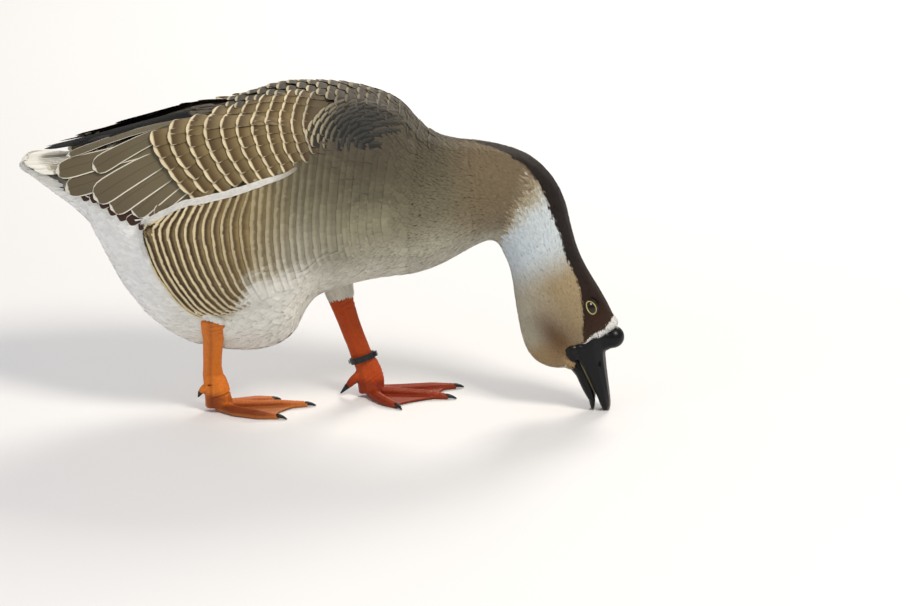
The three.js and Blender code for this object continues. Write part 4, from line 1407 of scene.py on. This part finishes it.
beak = {
    # centre and radii in mm and tilt in degrees: the knob and its root, then one corner of the mouth
    "knob": [((334.3, 0, 87), (12.7, 12.7, 12.7), 0), ((333.5, 0, 82.8), (10.5, 12.3, 8.8), 0),
             ((325, 0, 82.5), (9.6, 12.3, 11.8), 0), ((325, 0, 88), (11, 13, 10), 0)],
    "corners": [((287.4, 19.2, 76.3), (7.8, 4.6, 5.8), 0), ((289.5, 18.2, 69.5), (7, 4.4, 7.5), 0),
                ((287.2, 18.8, 72.6), (7.4, 4.5, 6.5), -22), ((294.5, 17.6, 77.6), (9, 4.6, 5.5), 0)],
    # one side of the lower bill, which nearly closes the mouth, and its corner
    "lower": [((298.2, 8, 45), (5.8, 7.5, 38), -22), ((286.5, 14.5, 69), (5.5, 4.5, 10), -22)],
    "horn": "#07070a", "nail": "#564c48", "lip": "#15120f",
}


def onBothSides(lobes):
    return [((x, sign * y, z), size, tilt) for (x, y, z), size, tilt in lobes for sign in (-1, 1)]


# horn over the bill, worn smooth: nearly black, with broad dull highlights
blackHorn = bareMaterial("blackHorn", None, 0.32, 3, coat=0.04, specular=0.22)
bill = moulded("bill", ["bill_upper"], voxel=0.6, rounds=12, swell=0.3,
               lobes=beak["knob"] + onBothSides(beak["corners"]))
lowerBill = moulded("lowerBill", ["bill_lower"], voxel=0.6, rounds=8, swell=0.8,
                    lobes=onBothSides(beak["lower"]))
place = getPoints(bill) / mm
easeWhere(bill, smooth(place[:, 0], 308, 318) * smooth(place[:, 2], 62, 72), 75)
for piece, nodes in ((bill, ["bill_upper", "bill_knob"]), (lowerBill, ["bill_lower"])):
    points = getPoints(piece)
    x, y, z = points.T / mm
    nail = smooth(z, 14, 10) * smooth(np.abs(y), 8.5, 6.5) * (smooth(x, 316, 319) if piece is bill else 0.5)
    points += getNormals(piece) * (0.35 * nail * smooth(z, 14, 11))[:, None] * mm
    colors = np.tile(toLinear(beak["horn"]), (len(points), 1))
    colors = paint(colors, beak["nail"], 0.8 * nail)
    colors = paint(colors, beak["lip"], 0.6 * smooth(z, 60, 78) * smooth(x, 296, 288))
    points[:, 2] = np.maximum(points[:, 2], 0.3 * mm)
    # the root of the bill ends just under the feathers of the brow
    over = aboveBrow(points) * smooth(x, 296, 302)
    slant = math.radians(browLine["slant"])
    pressed = (0.9 * np.maximum(over - 0.5, 0) * smooth(x, 341, 331))[:, None] * mm
    points -= pressed * np.array([-math.sin(slant), 0, math.cos(slant)])
    setPoints(piece, points)
    tintPiece(piece, colors)
    finishPiece(piece, blackHorn, nodes)
report("bill and knob")

# the comb of small plates along the mouth's edge

comb = {"plates": 40, "from": (295.8, 17.6, 65), "to": (314.8, 10.9, 21), "size": (2.7, 1.5, 0.5)}  # mm
# thin plates of pale horn: dull and slightly yellow
combHorn = bareMaterial("combHorn", "#857b5c", 0.5, 1)
for side, sign in sides.items():
    start, end = np.array([comb["from"], comb["to"]]) * mm * (1, sign, 1)
    run = unit(end - start)
    across = unit(np.cross(run, (0, 1, 0)))
    aside = np.cross(run, across)
    deselect()
    bpy.ops.mesh.primitive_cube_add(size=1)
    plate = bpy.context.object
    plate.scale = np.array(comb["size"]) * mm
    bpy.ops.object.transform_apply(location=False, rotation=False, scale=True)
    applyModifier(plate, "BEVEL", width=0.15 * mm, segments=2)
    shape = getPoints(plate)
    plates = [plate]
    for _ in range(comb["plates"] - 1):
        copy = bpy.data.objects.new("plate", plate.data.copy())
        scene.collection.objects.link(copy)
        plates.append(copy)
    for k, copy in enumerate(plates):
        middle = start + (end - start) * k / (comb["plates"] - 1)
        size = 1 - 0.35 * k / comb["plates"]
        setPoints(copy, middle + size * (shape[:, :1] * across + shape[:, 1:2] * aside) + shape[:, 2:] * run)
    finishPiece(joinPieces(plates, f"comb{side.title()}"), combHorn)
report(f"{comb['plates']} comb plates on each side")

# legs

toes = ["inner", "middle", "outer", "hind"]
# the far leg's colour and the crease colour are painted shade: the far leg on the side away from the light,
# the creases in the shank's grooves and the toes' folds
leg = {
    "skin": "#dd7a24", "ridge": "#bb6420", "web": "#7c3507", "creaseShade": "#7c3409", "edge": "#c07434",
    "far": "#a82d00", "flare": {"right": 0.4, "left": 0.1},  # how much wider the shank is at the top
    "overlap": 0.009,  # metres of shank inside the cuff
    "bend": 0.4, "spring": 0.12,  # shares up the shank, from which it is stretched and leans out
    "lobe": {"right": (7, 0, -8), "left": (14, 0, -8)}, "lean": -14,  # mm from the ankle, and degrees
    "lobeSize": (11, 9.5, 23),
    "creases": [(0.80, 0.5), (0.87, 0.7), (0.94, 0.8)],  # shares up the shank, and depths in mm
    "ankle": {"right": 1.4, "left": 0.6}, "groove": {"right": 0.8, "left": 0.4},  # depths in mm
    "toe": 4.2, "fold": 3.6,  # width of a toe's ridge, and the spacing of its cross folds, mm
}
# skin with keratin scales 1.8 mm across: bright, with a dull sheen broken by the scales' edges
scalySkin = bareMaterial("scalySkin", None, 0.5, 4, cells=1.8, grainDepth=0.5, specular=0.25,
                         shades=(0.8, 1.2))
# solid claw horn, worn smooth: dark with a soft highlight
blackClaw = bareMaterial("blackClaw", "#100e0d", 0.35, 1)


def shapeLeg(piece, side, sign):
    points = getPoints(piece)
    ankle, axis, hem, shift = shankLine(side, sign)
    shankTop = getPoints(frame["nodes"][f"shank_{side}"])[:, 2].max()
    length = (hem[2] - ankle[2]) / axis[2]
    share = (points - ankle) @ axis / length
    top = (shankTop - ankle[2]) / axis[2] / length
    goal = 1 + leg["overlap"] / length
    bend = leg["bend"]
    stretched = bend + (share - bend) * (goal - bend) / (top - bend)
    moved = np.where(share > bend, stretched, share)
    away = points - (ankle + np.outer(share, axis) * length)
    ahead = np.array([axis[2], 0, -axis[0]])
    front, lateral = away @ ahead, away[:, 1]
    shank = smooth(moved, 0.0, 0.12) * smooth(np.hypot(front, lateral), 0.03, 0.022)
    wide = 1 + shank * (0.1 + leg["flare"][side] * smooth(moved, 0.62, 1.04))
    away = ahead * (front * wide)[:, None]
    away = away + np.array([0, 1, 0]) * (lateral * (1 + 0.5 * (wide - 1)))[:, None]
    body = unit(away)
    size = np.hypot(front * wide, lateral)
    above = points[:, 2] / mm
    depth = leg["groove"][side] * bell(front / mm, -3.6, 2.1)
    for place, deep in leg["creases"]:
        line = place + 0.012 * np.sin(front / mm / 3)
        depth += deep * bell((moved - line) * length / mm, 0, 0.9) * smooth(front / mm, -6, -2)
    fold = -0.19 + 0.041 * front / mm / 10
    for lower, deep, broad in ((0, leg["ankle"][side], 1.3), (0.05, 0.4, 0.8), (-0.05, 0.4, 0.8)):
        depth += deep * bell((moved - fold - lower) * length / mm, 0, broad) * smooth(front / mm, -5, 0)
    depth = depth * smooth(size / mm, 3, 6) * smooth(above, 11, 16)
    depth = depth * smooth(np.hypot(front, lateral), 0.031, 0.024)
    led = np.clip((moved - leg["spring"]) / (1 - leg["spring"]), 0, 1)
    settled = ankle + np.outer(moved, axis) * length + away + np.outer(led, shift)
    settled[:, 1] -= sign * 0.012 * smooth(moved, 0.98, goal) * (side == "right")
    isShank = smooth(above, 22, 30)[:, None] * smooth(np.hypot(front, lateral), 0.034, 0.024)[:, None]
    shaped = points + (settled - points) * isShank - body * depth[:, None] * mm
    # toes: ridges with cross folds, and the web between them
    ridge, folds = np.zeros((2, len(points)))
    begin = ankle[:2]
    for toe in toes:
        run = np.array(middleOf(f"claw_{side}_{toe}"))[:2] - begin
        reach = np.linalg.norm(run)
        along = np.clip((points[:, :2] - begin) @ run / reach ** 2, 0, 1)
        off = np.linalg.norm(points[:, :2] - begin - along[:, None] * run, axis=1) / mm
        near = bell(off, 0, leg["toe"])
        ripple = 0.5 + 0.5 * np.cos(along * reach / mm * 2 * math.pi / leg["fold"])
        folds = np.where(near > ridge, ripple ** 3, folds)
        ridge = np.maximum(ridge, near)
    foot = smooth(above, 26, 16)
    shaped[:, 2] -= 0.4 * mm * folds * ridge * foot * smooth(above, 2, 5)
    shaped[:, 2] = np.maximum(shaped[:, 2], 0)
    setPoints(piece, shaped)
    colors = np.tile(toLinear(leg["skin"]), (len(points), 1))
    colors = paint(colors, leg["web"], foot * (1 - ridge))
    colors = paint(colors, leg["ridge"], foot * ridge * 0.8)
    colors = paint(colors, leg["edge"], smooth(above, 7, 2) * foot * 0.7)
    # painted shade in the shank's groove, creases and ankle folds, and in the toes' cross folds
    colors = paint(colors, leg["creaseShade"], np.clip(0.5 * depth / 1.2 + 0.35 * folds * ridge * foot, 0, 1))
    # the far leg is painted redder and darker, and its foot darker still: painted shade on the side away
    # from the light
    if side == "left":
        colors = paint(colors, leg["far"], np.full(len(points), 0.8)) * (1 - 0.35 * foot[:, None])
    tintPiece(piece, colors)


for side, sign in sides.items():
    ankle = shankLine(side, sign)[0] / mm
    lobe = (ankle + leg["lobe"][side], leg["lobeSize"], leg["lean"])
    nodes = [f"shank_{side}", f"foot_{side}"]
    piece = moulded(f"leg{side.title()}", nodes, voxel=0.8, rounds=7, swell=0.2, lobes=[lobe])
    shapeLeg(piece, side, sign)
    finishPiece(piece, scalySkin, nodes)
    for toe in toes:
        node = f"claw_{side}_{toe}"
        claw = moulded(f"claw{side.title()}{toe.title()}", [node], voxel=0.4, rounds=3, swell=0)
        points = getPoints(claw)
        points[:, 2] = np.maximum(points[:, 2], 0)
        setPoints(claw, points)
        finishPiece(claw, blackClaw, [node])
    report(f"{side} leg and claws")

# eyes, with a pale ring on the lids' edge and a dark fold round it

eye = {
    # mm from the CAD's eye, how much longer it is along the head, and the way of the lids' corners
    "shift": (-1.6, 0, -0.8), "stretch": 1.1, "headway": (0.5, 0, -0.86),
    # round the eye, from the inside: half length, half width, thickness and rise in mm
    "ring": (8.0, 4.9, 0.66, 0.25), "fold": (9.3, 6.1, 0.95, -0.35), "brow": (10.9, 7.6, 0.8, -1.25),
    "pupil": "#020202", "iris": "#2a1409", "pupilSize": 4.2,
}
# moist cornea: clear and wet, with sharp highlights over a dark iris
wetEye = bareMaterial("wetEye", None, 0.11, 0.5, grainDepth=0.0)
# bare skin on the lids' edge: dry and yellow-green
ringSkin = bareMaterial("ringSkin", "#b3a763", 0.55, 0.8)
# wrinkled bare skin in the folds round it: dark and dull
lidSkin = bareMaterial("lidSkin", "#1d140e", 0.6, 1.2, cells=0.9, grainDepth=0.4)
tube = 0.15  # the added ring's thickness next to its radius


def layLid(label, material, side, centre, radius, outward, headway, aside):
    longHalf, wideHalf, thick, proud = eye[label]
    deselect()
    bpy.ops.mesh.primitive_torus_add(
        major_segments=72, minor_segments=12, major_radius=1, minor_radius=tube)
    lid = bpy.context.object
    lid.name = f"eye{label.title()}{side.title()}"
    flat = getPoints(lid)
    turn = np.arctan2(flat[:, 1], flat[:, 0])
    turned = np.stack([np.cos(turn), np.sin(turn)], axis=1)
    wide = (np.hypot(flat[:, 0], flat[:, 1]) - 1) / tube
    ripple = 1 + (0.0 if label == "ring" else 0.22) * np.sin(5 * turn + 1) * np.sin(2 * turn)
    seat = turned * eye["ring"][:2] * mm
    reach = turned * (longHalf, wideHalf) * mm
    reach = reach + unit(reach) * (wide * thick * ripple * mm)[:, None]
    low = (seat[:, 0] / eye["stretch"]) ** 2 + seat[:, 1] ** 2
    rise = np.sqrt(radius ** 2 - low) + proud * mm + flat[:, 2] / tube * thick * mm
    off = headway * reach[:, :1] + aside * reach[:, 1:]
    setPoints(lid, np.array(centre) + off + outward * rise[:, None])
    shadeSmooth(lid)
    finishPiece(lid, material)


for side, sign in sides.items():
    centre = middleOf(f"eye_{side}") + Vector(eye["shift"]) * mm
    low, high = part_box(f"eye_{side}")
    radius = (high - low).y / 2
    _, normal, _, _ = formTree.find_nearest(centre + Vector((0, sign * 0.03, 0)))
    outward, headway = np.array(normal), np.array(eye["headway"])
    headway = unit(headway - outward * headway.dot(outward))
    aside = np.cross(outward, headway)
    deselect()
    bpy.ops.mesh.primitive_uv_sphere_add(segments=48, ring_count=24, radius=radius)
    ball = bpy.context.object
    ball.name = f"eye{side.title()}"
    off = getPoints(ball)
    off = off + np.outer(off @ headway, headway) * (eye["stretch"] - 1)
    setPoints(ball, np.array(centre) + off)
    shadeSmooth(ball)
    spread = np.linalg.norm(off - np.outer(off @ outward, outward), axis=1) / mm
    iris = smooth(spread, eye["pupilSize"] - 0.3, eye["pupilSize"] + 0.3)
    tintPiece(ball, paint(np.tile(toLinear(eye["pupil"]), (len(off), 1)), eye["iris"], iris))
    finishPiece(ball, wetEye, [f"eye_{side}"])
    for label, material in (("ring", ringSkin), ("fold", lidSkin), ("brow", lidSkin)):
        layLid(label, material, side, centre, radius, outward, headway, aside)
    report(f"{side} eye and lids")

# leg band

# moulded ABS: evenly dark, with a dull sheen
bandPlastic = bareMaterial("bandPlastic", "#15171a", 0.4, 1)
# aluminium under a dull skin of oxide, which hides the bare metal: pale grey, with a soft highlight
studMetal = bareMaterial("studMetal", "#a8a8a4", 0.3, 0.6)
for node, material in (("leg_band", bandPlastic), ("leg_band_stud", studMetal)):
    for slot in frame["nodes"][node].material_slots:
        slot.material = material

bpy.data.objects.remove(form)
report("all pieces made")
